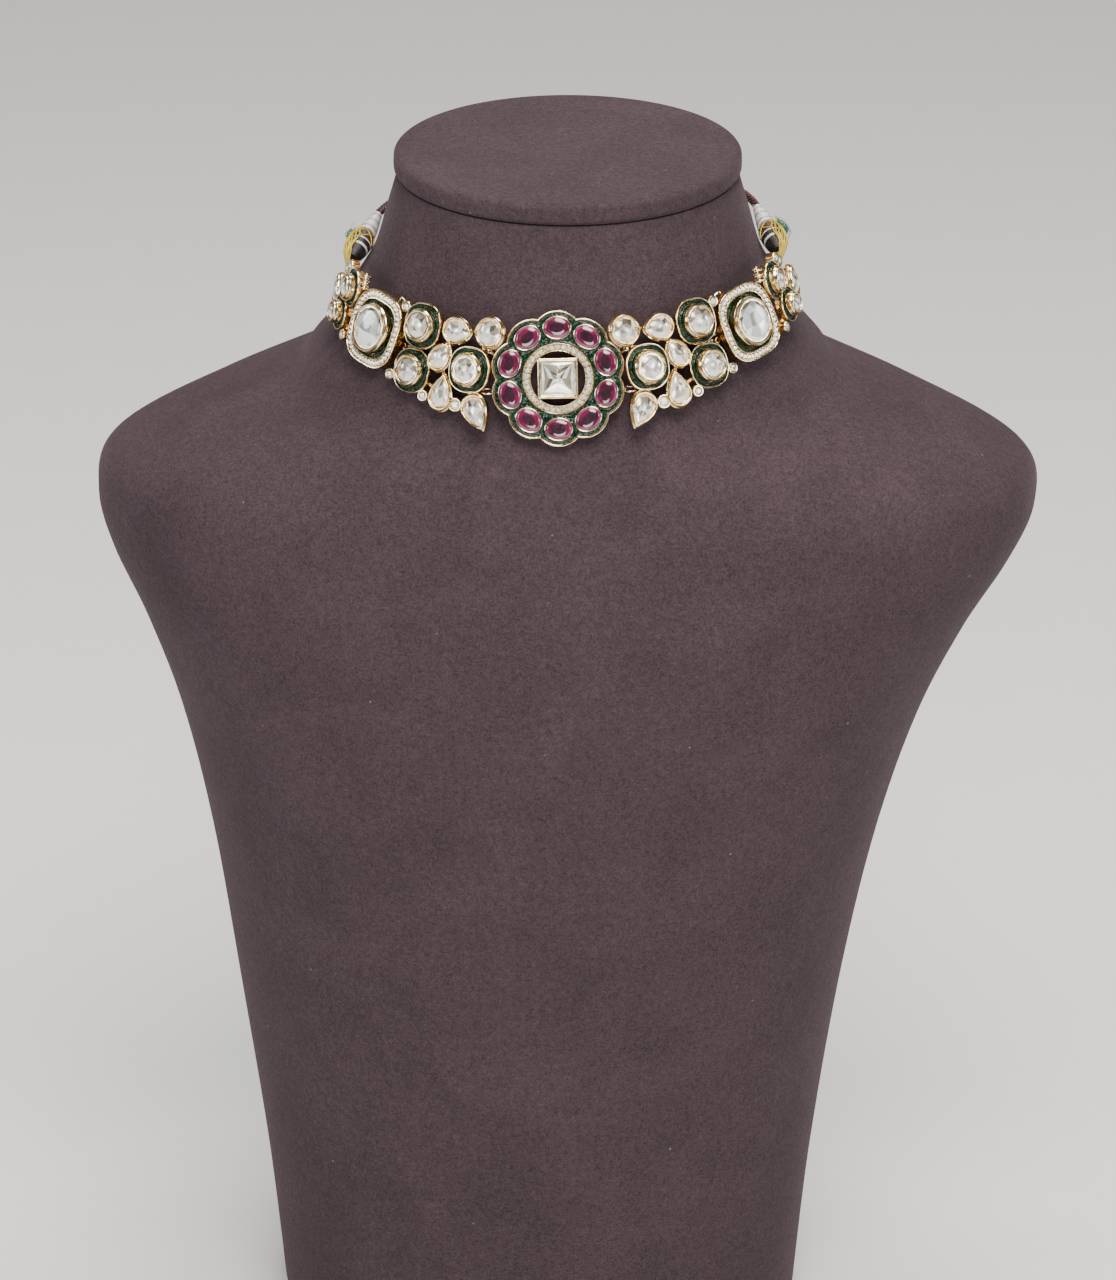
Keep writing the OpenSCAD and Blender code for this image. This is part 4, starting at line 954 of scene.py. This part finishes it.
def slab_stone(work, place, rng):
    """Large flat polki: a narrow bevel round a table that is split into a few long flat faces"""
    d, rim, n = PLAQUE_STONE, PLAQUE_COLLET, 14
    levels = []
    # share of the width, height, unevenness and half step round
    rows = ((0.985, rim - 1.2, 0, 0), (0.985, rim - 0.75, 0, 0), (0.93, rim - 0.42, 0.005, 0),
            (0.76, rim + 0.02, 0.03, 0.5))
    for k, z, jitter, half in rows:
        levels.append([(d / 2 * k * (1 + rng.uniform(-jitter, jitter)) * math.cos(t),
                        d / 2 * k * (1 + rng.uniform(-jitter, jitter)) * math.sin(t), z)
                       for t in full_turn(n, half)])
    facets(work, place, levels, foil_below(rng, 1.2, 0.35, 0.42, POLKI))
    # table: a level ridge a little below the middle, with one wide face in painted shade above and faces in
    # painted flash below
    edge = levels[-1]
    corners = ((-0.2, -0.08, 0.45), (0.02, -0.1, 0.5), (0.22, -0.07, 0.42), (0.1, 0.2, 0.3),
               (-0.12, 0.21, 0.3))
    ridge = [(x * d, y * d, rim + z) for x, y, z in corners]
    bright, light, dull = POLKI[:3]
    faces, kinds = [tuple(range(n, n + 5))], [dull]
    nearest = [min(range(5), key=lambda r: math.dist(p[:2], ridge[r][:2])) for p in edge]
    for j in range(n):
        jj = (j + 1) % n
        middle = (edge[j][1] + edge[jj][1]) / 2 / d
        if middle < -0.1 and rng.random() < 0.85:
            kinds.append(bright)
        else:
            kinds.append(light if middle < 0.1 or rng.random() < 0.6 else dull)
        corner = () if nearest[j] == nearest[jj] else (n + nearest[jj],)
        faces.append((j, jj, *corner, n + nearest[j]))
    work.add(edge + ridge, faces, place, kinds, flat=True)


# Open panels of cups, trays and bars, for the wings and the ends

def panel_metal(work, places, units, accents, bars):
    for unit in units:
        place = cup_place(places, unit) @ turned(unit.turn, "Z")
        if unit.bulge:
            tray(work, place, unit)
        bezel(work, place, unit, bpy.context.scene.choker_metal.step)
    for accent in accents:
        accent_cup(work, cup_place(places, accent), accent)
    for row in bars:
        bar(work, places[row.facet], row)


def panel_enamel(kind, side, places, units):
    work = Work()
    for unit in units:
        if unit.bulge:
            enamel_ring(work, cup_place(places, unit), unit)
    work.piece(f"{kind}_fired_enamel_{side}", [f"{kind}_enamel_{side}"], "green_enamel")


def panel_stones(work, places, units, accents, rng):
    for unit in units:
        rose_cut(work, cup_place(places, unit) @ turned(unit.turn, "Z"), unit, rng)
    for accent in accents:
        brilliant(work, cup_place(places, accent), accent.d, ACCENT_H - 0.5, 0.75, rng, 9)


def cup_place(places, row):
    """Where a cup sits on its facet of the panel"""
    return places[row.facet] @ moved(row.along, row.up)


# Stage, in metres and degrees

FLOOR_HALF, FLOOR_FRONT, FLOOR_BACK, SWEEP_R, BACKDROP_TOP = 4.0, -3.0, 1.7, 0.8, 3.2
LENS_MM, CAMERA_TURN, CAMERA_RISE, CAMERA_AWAY = 162.69, 2.5, 23.5, 1.6
CAMERA_AIM, LIGHT_AIM = Vector((-0.0026, 0, 0.201757)), Vector((0, 0, 0.27))
# Soft round lights: place, diameter, the setting that gives the power, the share of it, and the tint
LIGHTS = table(
    "name spot size power share tint",
    ("key", (0.15, -0.8, 1.5), 0.8, "key", 1, "#fff8ee"),
    ("top", (0.1, 0.2, 1.6), 0.7, "key", 0.6, "#ffffff"),
    ("low", (0.0, -1.4, 0.34), 0.62, "fill", 1.6, "#ffffff"),
    ("left_fill", (-1.1, -0.75, 0.75), 0.5, "fill", 1, "#f4f7ff"),
    ("right_fill", (1.1, -0.75, 0.75), 0.5, "fill", 1, "#f4f7ff"),
    ("left_side", (-1.3, 0.15, 0.6), 0.36, "fill", 0.6, "#ffffff"),
    ("right_side", (1.3, 0.15, 0.6), 0.36, "fill", 0.6, "#ffffff"))


class CHOKER_OT_stage(bpy.types.Operator):
    """Floor, soft lights and the camera"""
    bl_idname = "choker.stage"
    bl_label = "Stage"

    def execute(self, context):
        self.floor(context)
        self.lights(context)
        camera = bpy.data.cameras.new("camera")
        camera.sensor_fit, camera.sensor_height, camera.lens = "VERTICAL", 36.0, LENS_MM
        camera.clip_end = 20.0
        view = bpy.data.objects.new("camera", camera)
        turn, rise = math.radians(CAMERA_TURN), math.radians(CAMERA_RISE)
        ahead = Vector((-math.sin(turn) * math.cos(rise), math.cos(turn) * math.cos(rise), -math.sin(rise)))
        view.location = CAMERA_AIM - ahead * CAMERA_AWAY
        view.rotation_euler = ahead.to_track_quat("-Z", "Y").to_euler()
        context.scene.collection.objects.link(view)
        context.scene.camera = view
        return {"FINISHED"}

    def floor(self, context):
        """Floor that sweeps up into a backdrop"""
        sweep = [(FLOOR_FRONT, 0), (FLOOR_BACK, 0)]
        for a in [math.radians(k) for k in range(10, 91, 10)]:
            sweep.append((FLOOR_BACK + SWEEP_R * math.sin(a), SWEEP_R - SWEEP_R * math.cos(a)))
        sweep.append((FLOOR_BACK + SWEEP_R, BACKDROP_TOP))
        points = [(x, y, z) for y, z in sweep for x in (-FLOOR_HALF, FLOOR_HALF)]
        faces = [(i, i + 1, i + 3, i + 2) for i in range(0, len(points) - 2, 2)]
        mesh = bpy.data.meshes.new("floor")
        mesh.from_pydata(points, [], faces)
        mesh.shade_smooth()
        mesh.materials.append(paper_matte("Backdrop_paper_matte", context.scene.choker_stage.floor))
        floor = bpy.data.objects.new("floor", mesh)
        context.scene.collection.objects.link(floor)

    def lights(self, context):
        world = bpy.data.worlds.new("studio")
        world.use_nodes = True
        background = world.node_tree.nodes["Background"].inputs
        background["Color"].default_value = rgba(linear("#dfe3ea"))
        background["Strength"].default_value = 0.3
        context.scene.world = world
        for row in LIGHTS:
            light = bpy.data.lights.new(row.name, "AREA")
            light.shape, light.size, light.color = "DISK", row.size, linear(row.tint)
            light.energy = getattr(context.scene.choker_stage, row.power) * row.share
            lamp = bpy.data.objects.new(row.name, light)
            lamp.location = row.spot
            lamp.rotation_euler = (LIGHT_AIM - Vector(row.spot)).to_track_quat("-Z", "Y").to_euler()
            context.scene.collection.objects.link(lamp)


# Bust

def inset(section, z, by):
    """Section of the bust at another height, drawn in all round"""
    _, half, front, back, shift = section
    return (z, half - by, front - by, back - by, shift)


class CHOKER_OT_bust(bpy.types.Operator):
    """Velvet-covered bust and its cap"""
    bl_idname = "choker.bust"
    bl_label = "Neck bust"

    def execute(self, context):
        sections = list(zip(*[smoothed(column, 9) for column in zip(*BUST_SIZES)]))[::-1]
        foot, top = sections[0], sections[-1]
        # cloth turned under the foot and pressed flat, and the neck drawn in under the cap
        sections = [inset(foot, 0.0, 2.5), inset(foot, 0.5, 0.8), inset(foot, 1.8, 0)] + sections[1:]
        sections.append(inset(top, top[0] + 0.15, 1.2))
        work = Work()
        work.loft([[(half * math.cos(a) - shift, (back if math.sin(a) > 0 else front) * math.sin(a), z)
                    for a in full_turn(context.scene.choker_bust.points)]
                   for z, half, front, back, shift in sections], Matrix(), "velvet")
        work.piece("bust_velvet", ["bust_body"], "velvet", sharp=60)

        # cap: a covered disc whose rim stands straight between two rounded edges
        r, base, edge_r = CAP_W / 2, BUST_H - CAP_T, 1.7
        corner = [polar(edge_r, math.radians(a)) for a in range(0, 91, 10)]
        rows = [(r * 0.72, base + 0.02)]
        rows += [(r - edge_r + y, base + edge_r - x) for x, y in corner]
        rows += [(r + 0.05, base + CAP_T / 2)]
        rows += [(r - edge_r + x, BUST_H - edge_r + y) for x, y in corner]
        rows += [(r * 0.94, BUST_H + 0.03), (r * 0.6, BUST_H - 0.02), (r * 0.12, BUST_H - 0.05)]
        work = Work()
        work.loft([ring_at(circle_outline(size, 144), z) for size, z in rows], Matrix(), "velvet")
        work.piece("cap_velvet", ["bust_cap"], "velvet", sharp=60)
        return {"FINISHED"}


# Panels

class CHOKER_OT_medallion(bpy.types.Operator):
    """Ten-lobed medallion with red stones, pave ring and square stone"""
    bl_idname = "choker.medallion"
    bl_label = "Medallion"

    def execute(self, context):
        place = on_side("r") @ MEDALLION_SEAT
        work = Work()
        medallion_metal(work, place)
        for side in SIDES:
            for up in WING_JOINT:
                eye(work, on_side(side) @ FRONT_SEAT, REACH - EYE_REACH, up, -TAB_L)
        work.piece("medallion_gold", ["medallion_frame"], "gold")
        work = Work()
        spots = [polar(RING_MIDDLE, t + math.pi / 2) for t in full_turn(RING_STONES, 1)]
        border_stones(work, place, spots, RING_STONE_D, RING_H, random.Random(RING_SEED))
        work.piece("medallion_pave_stones", ["medallion_pave"], "pave_stone")
        work = Work()
        princess(work, place)
        work.piece("medallion_square_stone", ["medallion_stone"], "kundan_stone")
        work = Work()
        for i in range(LOBES):
            oval_ruby(work, ruby_place(place, i))
        work.piece("medallion_red_stones", [f"ruby_{i:02d}" for i in range(1, LOBES + 1)], "red_stone")
        work = Work()
        lobed_enamel(work, place)
        work.piece("medallion_fired_enamel", ["medallion_enamel"], "green_enamel", sharp=180)
        return {"FINISHED"}


class CHOKER_OT_wings(bpy.types.Operator):
    """Open wings of cups, trays and bars on both sides"""
    bl_idname = "choker.wings"
    bl_label = "Wings"

    def execute(self, context):
        for number, side in enumerate(SIDES):
            places = [on_side(side) @ place for place in WING_SEATS]
            work = Work()
            panel_metal(work, places, WING_UNITS, WING_ACCENTS, WING_BARS)
            for up in WING_JOINT:
                eye(work, places[0], EYE_REACH, up, TAB_L)
            for up in PLAQUE_JOINT:
                eye(work, places[1], WING_OUT - EYE_REACH, up, -TAB_L)
            work.piece(f"wing_gold_{side}", [f"wing_frame_{side}"], "gold")
            work, rng = Work(), random.Random(WING_SEED + number)
            panel_stones(work, places, WING_UNITS, (), rng)
            work.piece(f"wing_stones_{side}", [f"kundan_{side}{i}" for i in range(1, 9)], "kundan_stone")
            work = Work()
            panel_stones(work, places, (), WING_ACCENTS, rng)
            work.piece(f"wing_small_stones_{side}", [f"wing_accents_{side}"], "pave_stone")
            panel_enamel("wing", side, places, WING_UNITS)
        return {"FINISHED"}


class CHOKER_OT_plaques(bpy.types.Operator):
    """Cushion-shaped plaques with a pave border and one large stone"""
    bl_idname = "choker.plaques"
    bl_label = "Plaques"

    def execute(self, context):
        for number, side in enumerate(SIDES):
            place, edge = on_side(side) @ PLAQUE_SEAT, on_side(side) @ PLAQUE_EDGE
            work = Work()
            plaque_metal(work, place)
            for up in PLAQUE_JOINT:
                eye(work, edge, EYE_REACH, up, TAB_L)
            for up in END_JOINT:
                eye(work, edge, PLAQUE_SPAN - EYE_REACH, unrolled(up), -TAB_L)
            plaque_trim(work, place)
            work.piece(f"plaque_gold_{side}", [f"plaque_frame_{side}"], "gold")
            work = Work()
            spots = spread(cushion_outline(PLAQUE_W - BORDER_W, BORDER_POINTS), BORDER_STONES)
            border_stones(work, place, spots, BORDER_STONE_D, BORDER_H, random.Random(BORDER_SEED + number))
            work.piece(f"plaque_pave_stones_{side}", [f"plaque_pave_{side}"], "pave_stone")
            work = Work()
            slab_stone(work, place, random.Random(SLAB_SEED + number))
            work.piece(f"plaque_slab_{side}", [f"plaque_stone_{side}"], "kundan_stone")
            work = Work()
            flowed(work, place, circle_outline(PLAQUE_STONE / 2 + CUP + GAP, 160),
                   cushion_outline(PLAQUE_INNER - 2 * GAP), BACK_H + 0.22, BACK_H + 0.8)
            work.piece(f"plaque_fired_enamel_{side}", [f"plaque_enamel_{side}"], "green_enamel")
        return {"FINISHED"}


class CHOKER_OT_ends(bpy.types.Operator):
    """End panels, each with the eye for the thread"""
    bl_idname = "choker.ends"
    bl_label = "End panels"

    def execute(self, context):
        for number, side in enumerate(SIDES):
            places = [on_side(side) @ place for place in END_SEATS]
            work = Work()
            panel_metal(work, places, END_UNITS, END_ACCENTS, END_BARS)
            for up in END_JOINT:
                eye(work, places[0], EYE_REACH, up, END_TAB_L)
            eyelet(work, places[1], *THREAD_EYE, (THREAD_D + THREAD_PLAY) / 2, 28)
            work.piece(f"end_gold_{side}", [f"end_frame_{side}"], "gold")
            work = Work()
            panel_stones(work, places, END_UNITS, END_ACCENTS, random.Random(END_SEED + number))
            work.piece(f"end_set_stones_{side}", [f"end_stones_{side}"], "kundan_stone")
            panel_enamel("end", side, places, END_UNITS)
        return {"FINISHED"}


class CHOKER_OT_links(bpy.types.Operator):
    """Wire rings that join the panels"""
    bl_idname = "choker.links"
    bl_label = "Link rings"

    def execute(self, context):
        def spot(place, along, up):
            return place @ Vector((along, up, EYE_T / 2))

        front, (near, far), edge, end = FRONT_SEAT, WING_SEATS, PLAQUE_EDGE, END_SEATS[0]
        pairs = [(spot(front, REACH - EYE_REACH, up), spot(near, EYE_REACH, up)) for up in WING_JOINT]
        pairs += [(spot(far, WING_OUT - EYE_REACH, up), spot(edge, EYE_REACH, up)) for up in PLAQUE_JOINT]
        pairs += [(spot(edge, PLAQUE_SPAN - EYE_REACH, unrolled(up)), spot(end, EYE_REACH, up))
                  for up in END_JOINT]
        work = Work()
        for side in SIDES:
            for a, b in pairs:
                across = (b - a).normalized()
                outward = across.cross(Vector((0, 0, 1))).normalized()
                r = (b - a).length / 2
                path = [(a + b) / 2 + r * (math.cos(t) * across + math.sin(t) * outward)
                        for t in full_turn(28)]
                work.tube(path, on_side(side), WIRE_D, RIM, 10, True)
            # three loose rings on a pin, at the upper end of the joint between plaque and end panel
            place = on_side(side) @ END_SEATS[0]
            work.tube([(-2.3, up, 1.1) for up in (10.2, 12.0, 14.6)], place, LOOSE_RING_D, RIM)
            for up in (11.0, 12.4, 13.8):
                path = [(x - 2.9, up, z + 1.3) for x, z in circle_outline(LOOSE_RING_R, 28)]
                work.tube(path, place, LOOSE_RING_D, RIM, 10, True)
        work.piece("link_wire", ["link_rings"], "gold")
        return {"FINISHED"}


# Cord

def neck_at(z):
    """Half width of the bust at a height"""
    rows = sorted((z_row, half) for z_row, half, _, _, _ in BUST_SIZES)
    for (z0, a), (z1, b) in zip(rows, rows[1:]):
        if z0 <= z <= z1:
            return a + (b - a) * (z - z0) / (z1 - z0)
    raise ValueError("height outside the bust")


def round_neck(angle, r, z):
    a = math.radians(angle)
    return Vector((r * math.sin(a), -r * math.cos(a), z))


def cord_out(angle):
    """Radius of the cord's middle, which stands off the neck behind, where the slider is"""
    swell = max(0.0, -math.cos(math.radians(angle))) ** 8
    return neck_at(CORD_Z) + CORD_GAP + (CORD_D + (SLIDER_D - CORD_D) * swell) / 2


BALL_MIDDLE = round_neck(BALL_AT, neck_at(BALL_Z) + CORD_GAP + BALL_D / 2, BALL_Z)
CORD_START = round_neck(CORD_FROM, cord_out(CORD_FROM), CORD_Z)
TASSEL = (CORD_START - BALL_MIDDLE).normalized()
CONE_L = (CORD_START - BALL_MIDDLE).length - BALL_L / 2 - GAP - CORD_END_GAP
CONE_D = BALL_D * 0.86


def along_tassel(start):
    """Frame on the line from ball to cord, with its Z along it"""
    turn = TASSEL.to_track_quat("Z", "Y").to_matrix().to_4x4()
    return Matrix.Translation(BALL_MIDDLE + start * TASSEL) @ turn


def shape_at(t):
    """Share of the ball's width at share t of its length"""
    for (a, ta), (b, tb) in zip(BALL_SHAPE, BALL_SHAPE[1:]):
        if t <= tb:
            k = (t - ta) / (tb - ta)
            k = k * k * (3 - 2 * k) if ta == 0 else k
            return a + (b - a) * k
    return BALL_SHAPE[-1][0]


def on_ball(t, turn, out):
    """Point over the ball's skin, in its own frame: share of its length, angle, distance from the skin"""
    return (*polar(BALL_D / 2 * shape_at(t) + out, turn), BALL_L * t)


def outer_turn():
    """Angle in the ball's own frame that faces away from the neck and a little to the front"""
    away = Vector((BALL_MIDDLE.x, BALL_MIDDLE.y, 0)).normalized() + Vector((0, -1.9, 0))
    local = along_tassel(0).to_3x3().inverted() @ away
    return math.atan2(local.y, local.x)


def wound(work, place, radius, length, pitch, depth, finish_at, n=40):
    """Surface of thread wound on a form: one helical ridge for each turn"""
    turns = max(2, round(length / pitch))
    shares = [i / (turns * 5) for i in range(turns * 5 + 1)]
    rings = []
    for t in shares:
        ring = []
        for j, a in enumerate(full_turn(n)):
            ridge = abs(math.sin(math.pi * (turns * t - j / n)))
            ring.append((*polar(radius(t) - depth * (1 - ridge), a), length * t))
        rings.append(ring)
    work.loft(rings, place, [finish_at(t) for t in shares[:-1]])


class CHOKER_OT_cord(bpy.types.Operator):
    """Silk and metal threads: cord, cones, balls, loops and slider"""
    bl_idname = "choker.cord"
    bl_label = "Threads and cord"

    def execute(self, context):
        pitch = context.scene.choker_threads.pitch
        self.cord()
        self.slider(pitch)
        for side in SIDES:
            self.ball(side, pitch)
            self.tuft(side)
            self.cone(side, pitch)
        self.loops()
        return {"FINISHED"}

    def cord(self, steps=760, strands=3, strand_d=1.24, lay=5.2, off=0.52):
        """Three strands twisted together, with one turn in each length of lay"""
        work = Work()
        for strand in range(strands):
            path = []
            for i in range(steps + 1):
                angle = CORD_FROM + (360 - 2 * CORD_FROM) * i / steps
                r = cord_out(angle)
                a = 2 * math.pi * (r * math.radians(angle) / lay + strand / strands)
                path.append(round_neck(angle, r + off * math.cos(a), CORD_Z + off * math.sin(a)))
            work.tube(path, on_side("r"), strand_d, "maroon", 7)
        work.piece("cord_twisted", ["dori_cord"], "maroon_thread", sharp=70)

    def slider(self, pitch):
        """Barrel wound with silk, with two gold bands"""
        def band(t):
            return "zari" if 0.12 < t < 0.22 or 0.78 < t < 0.88 else "maroon"

        def radius(t):
            return SLIDER_D / 2 * (0.86 + 0.14 * math.sin(math.pi * t) ** 0.5)

        work = Work()
        middle = on_side("r") @ moved(*round_neck(180, cord_out(180), CORD_Z))
        wound(work, middle @ turned(90, "Y") @ moved(0, 0, -SLIDER_L / 2), radius, SLIDER_L, pitch, 0.1, band)
        work.piece("slider_wound", ["dori_slider"], "maroon_thread", sharp=80)

    def ball(self, side, pitch):
        """Ball of dark, silver and maroon silk under a net of gold thread"""
        def band(t):
            return "dark_silk" if t < 0.34 or 0.4 < t < 0.56 else "silver" if t < 0.6 else "maroon"

        lower = on_side(side) @ along_tassel(-BALL_L / 2)
        work, steps = Work(), 20
        wound(work, lower, lambda t: BALL_D / 2 * shape_at(t), BALL_L, pitch, 0.12, band, 44)
        for sign in (1, -1):
            for start in full_turn(5):
                path = [on_ball(0.62 + 0.36 * k, start + sign * 0.4 * math.pi * k, 0.04)
                        for k in [i / steps for i in range(steps + 1)]]
                work.tube(path, lower, NET_D, "zari", 6)
        work.piece(f"ball_wound_{side}", [f"thread_ball_{side}"], "maroon_thread", sharp=80)

    def tuft(self, side):
        """Tuft of green silk that stands out from the upper end of the ball"""
        seed, strands = TUFTS[side]
        work, rng = Work(), random.Random(seed)
        for _ in range(strands):
            turn, t = outer_turn() + rng.uniform(0.1, 1.1), rng.uniform(0.62, 0.9)
            path = [Vector(on_ball(t, turn, 0.1))]
            lean, reach = rng.uniform(-0.5, 0.6), rng.uniform(0.8, 2.3)
            for k in (0.35, 0.7, 1):
                p = on_ball(t, turn + 0.5 * k * rng.uniform(-1, 1), 0.1 + reach * k)
                path.append(Vector(p) + Vector((0, 0, 2.2 * lean * k * k + rng.uniform(-0.15, 0.15))))
            work.tube(smoothed(path, 3), on_side(side) @ along_tassel(-BALL_L / 2), TUFT_D, "green", 5,
                      taper=lambda k: 1 - 0.55 * k)
        work.piece(f"tuft_silk_{side}", sharp=80)

    def cone(self, side, pitch):
        """Cone of silver thread, with three greyer bands"""
        work = Work()
        wound(work, on_side(side) @ along_tassel(BALL_L / 2 + GAP),
              lambda t: CONE_D / 2 + (CORD_D - CONE_D) / 2 * t ** 1.15, CONE_L, pitch * 1.3, 0.16,
              lambda t: "silver_grey" if int(t * 9) % 3 == 1 else "silver")
        work.piece(f"cone_wound_{side}", [f"zari_cone_{side}"], "silver_zari", sharp=80)

    def loops(self):
        """Gold threads from the ball through the end panel's eye, and a band of them up over the ball"""
        eye_point = END_SEATS[1] @ Vector((*THREAD_EYE, EYE_T / 2))
        ball_point = BALL_MIDDLE - (BALL_L / 2 + THREAD_GAP) * TASSEL
        along = (ball_point - eye_point).normalized()
        outward = Vector((eye_point.x, eye_point.y, 0)).normalized()
        normal = along.cross(outward).normalized()
        away = normal.cross(along)
        bend, strand = (THREAD_D + THREAD_PLAY + EYE_WALL) / 2, 0.65 * THREAD_D
        centre = eye_point + bend * along
        path = [ball_point + strand * away, centre.lerp(ball_point, 0.3) + bend * away]
        path += [centre + bend * (math.cos(a) * along + math.sin(a) * away)
                 for a in [math.radians(k) for k in range(90, 271, 15)]]
        path += [centre.lerp(ball_point, 0.3) - bend * away, ball_point - strand * away]
        path = smoothed(path, 5)
        lower = along_tassel(-BALL_L / 2)
        work = Work()
        for side in SIDES:
            for number in range(3):
                twist = []
                for i, p in enumerate(path):
                    a = 2 * math.pi * (i / 9 + number / 3)
                    twist.append(p + LOOP_OFF * (math.cos(a) * normal + math.sin(a) * away))
                work.tube(twist, on_side(side), LOOP_D, "zari", 6)
            for number in range(7):
                turn, out = outer_turn() + 0.19 * (number - 3), 0.3 + 0.1 * (number % 3)
                over = [lower @ Vector(on_ball(t, turn + 0.12 * math.sin(9 * t + number), out))
                        for t in (0.02, 0.2, 0.4, 0.6, 0.8, 0.97)]
                start = eye_point - 0.7 * along + 0.27 * (number - 3) * normal + 0.8 * outward
                path_over = smoothed([start, start.lerp(over[0], 0.5) + 0.3 * outward] + over, 5)
                work.tube(path_over, on_side(side), BAND_D, "zari", 6)
        work.piece("thread_loops_twisted", ["dori_loops"], "gold_zari", sharp=80)


class CHOKER_PT_panel(bpy.types.Panel):
    """Builds the pieces of the choker one by one"""
    bl_idname = "CHOKER_PT_panel"
    bl_label = "Kundan choker"
    bl_space_type = "VIEW_3D"
    bl_region_type = "UI"
    bl_category = "Choker"

    def draw(self, context):
        for operator in OPERATORS:
            self.layout.operator(operator.bl_idname)


OPERATORS = (CHOKER_OT_stage, CHOKER_OT_bust, CHOKER_OT_medallion, CHOKER_OT_wings, CHOKER_OT_plaques,
             CHOKER_OT_ends, CHOKER_OT_links, CHOKER_OT_cord)
GROUPS = {"choker_bust": ChokerBust, "choker_metal": ChokerMetal, "choker_stones": ChokerStones,
          "choker_threads": ChokerThreads, "choker_stage": ChokerStage}
CLASSES = (*GROUPS.values(), *OPERATORS, CHOKER_PT_panel)


def register():
    for each in CLASSES:
        bpy.utils.register_class(each)
    for name, group in GROUPS.items():
        setattr(bpy.types.Scene, name, PointerProperty(type=group))


def unregister():
    for name in GROUPS:
        delattr(bpy.types.Scene, name)
    for each in reversed(CLASSES):
        bpy.utils.unregister_class(each)


def main():
    register()
    bpy.ops.choker.stage()
    bpy.ops.choker.bust()
    bpy.ops.choker.medallion()
    bpy.ops.choker.wings()
    bpy.ops.choker.plaques()
    bpy.ops.choker.ends()
    bpy.ops.choker.links()
    bpy.ops.choker.cord()


if __name__ == "__main__":
    main()
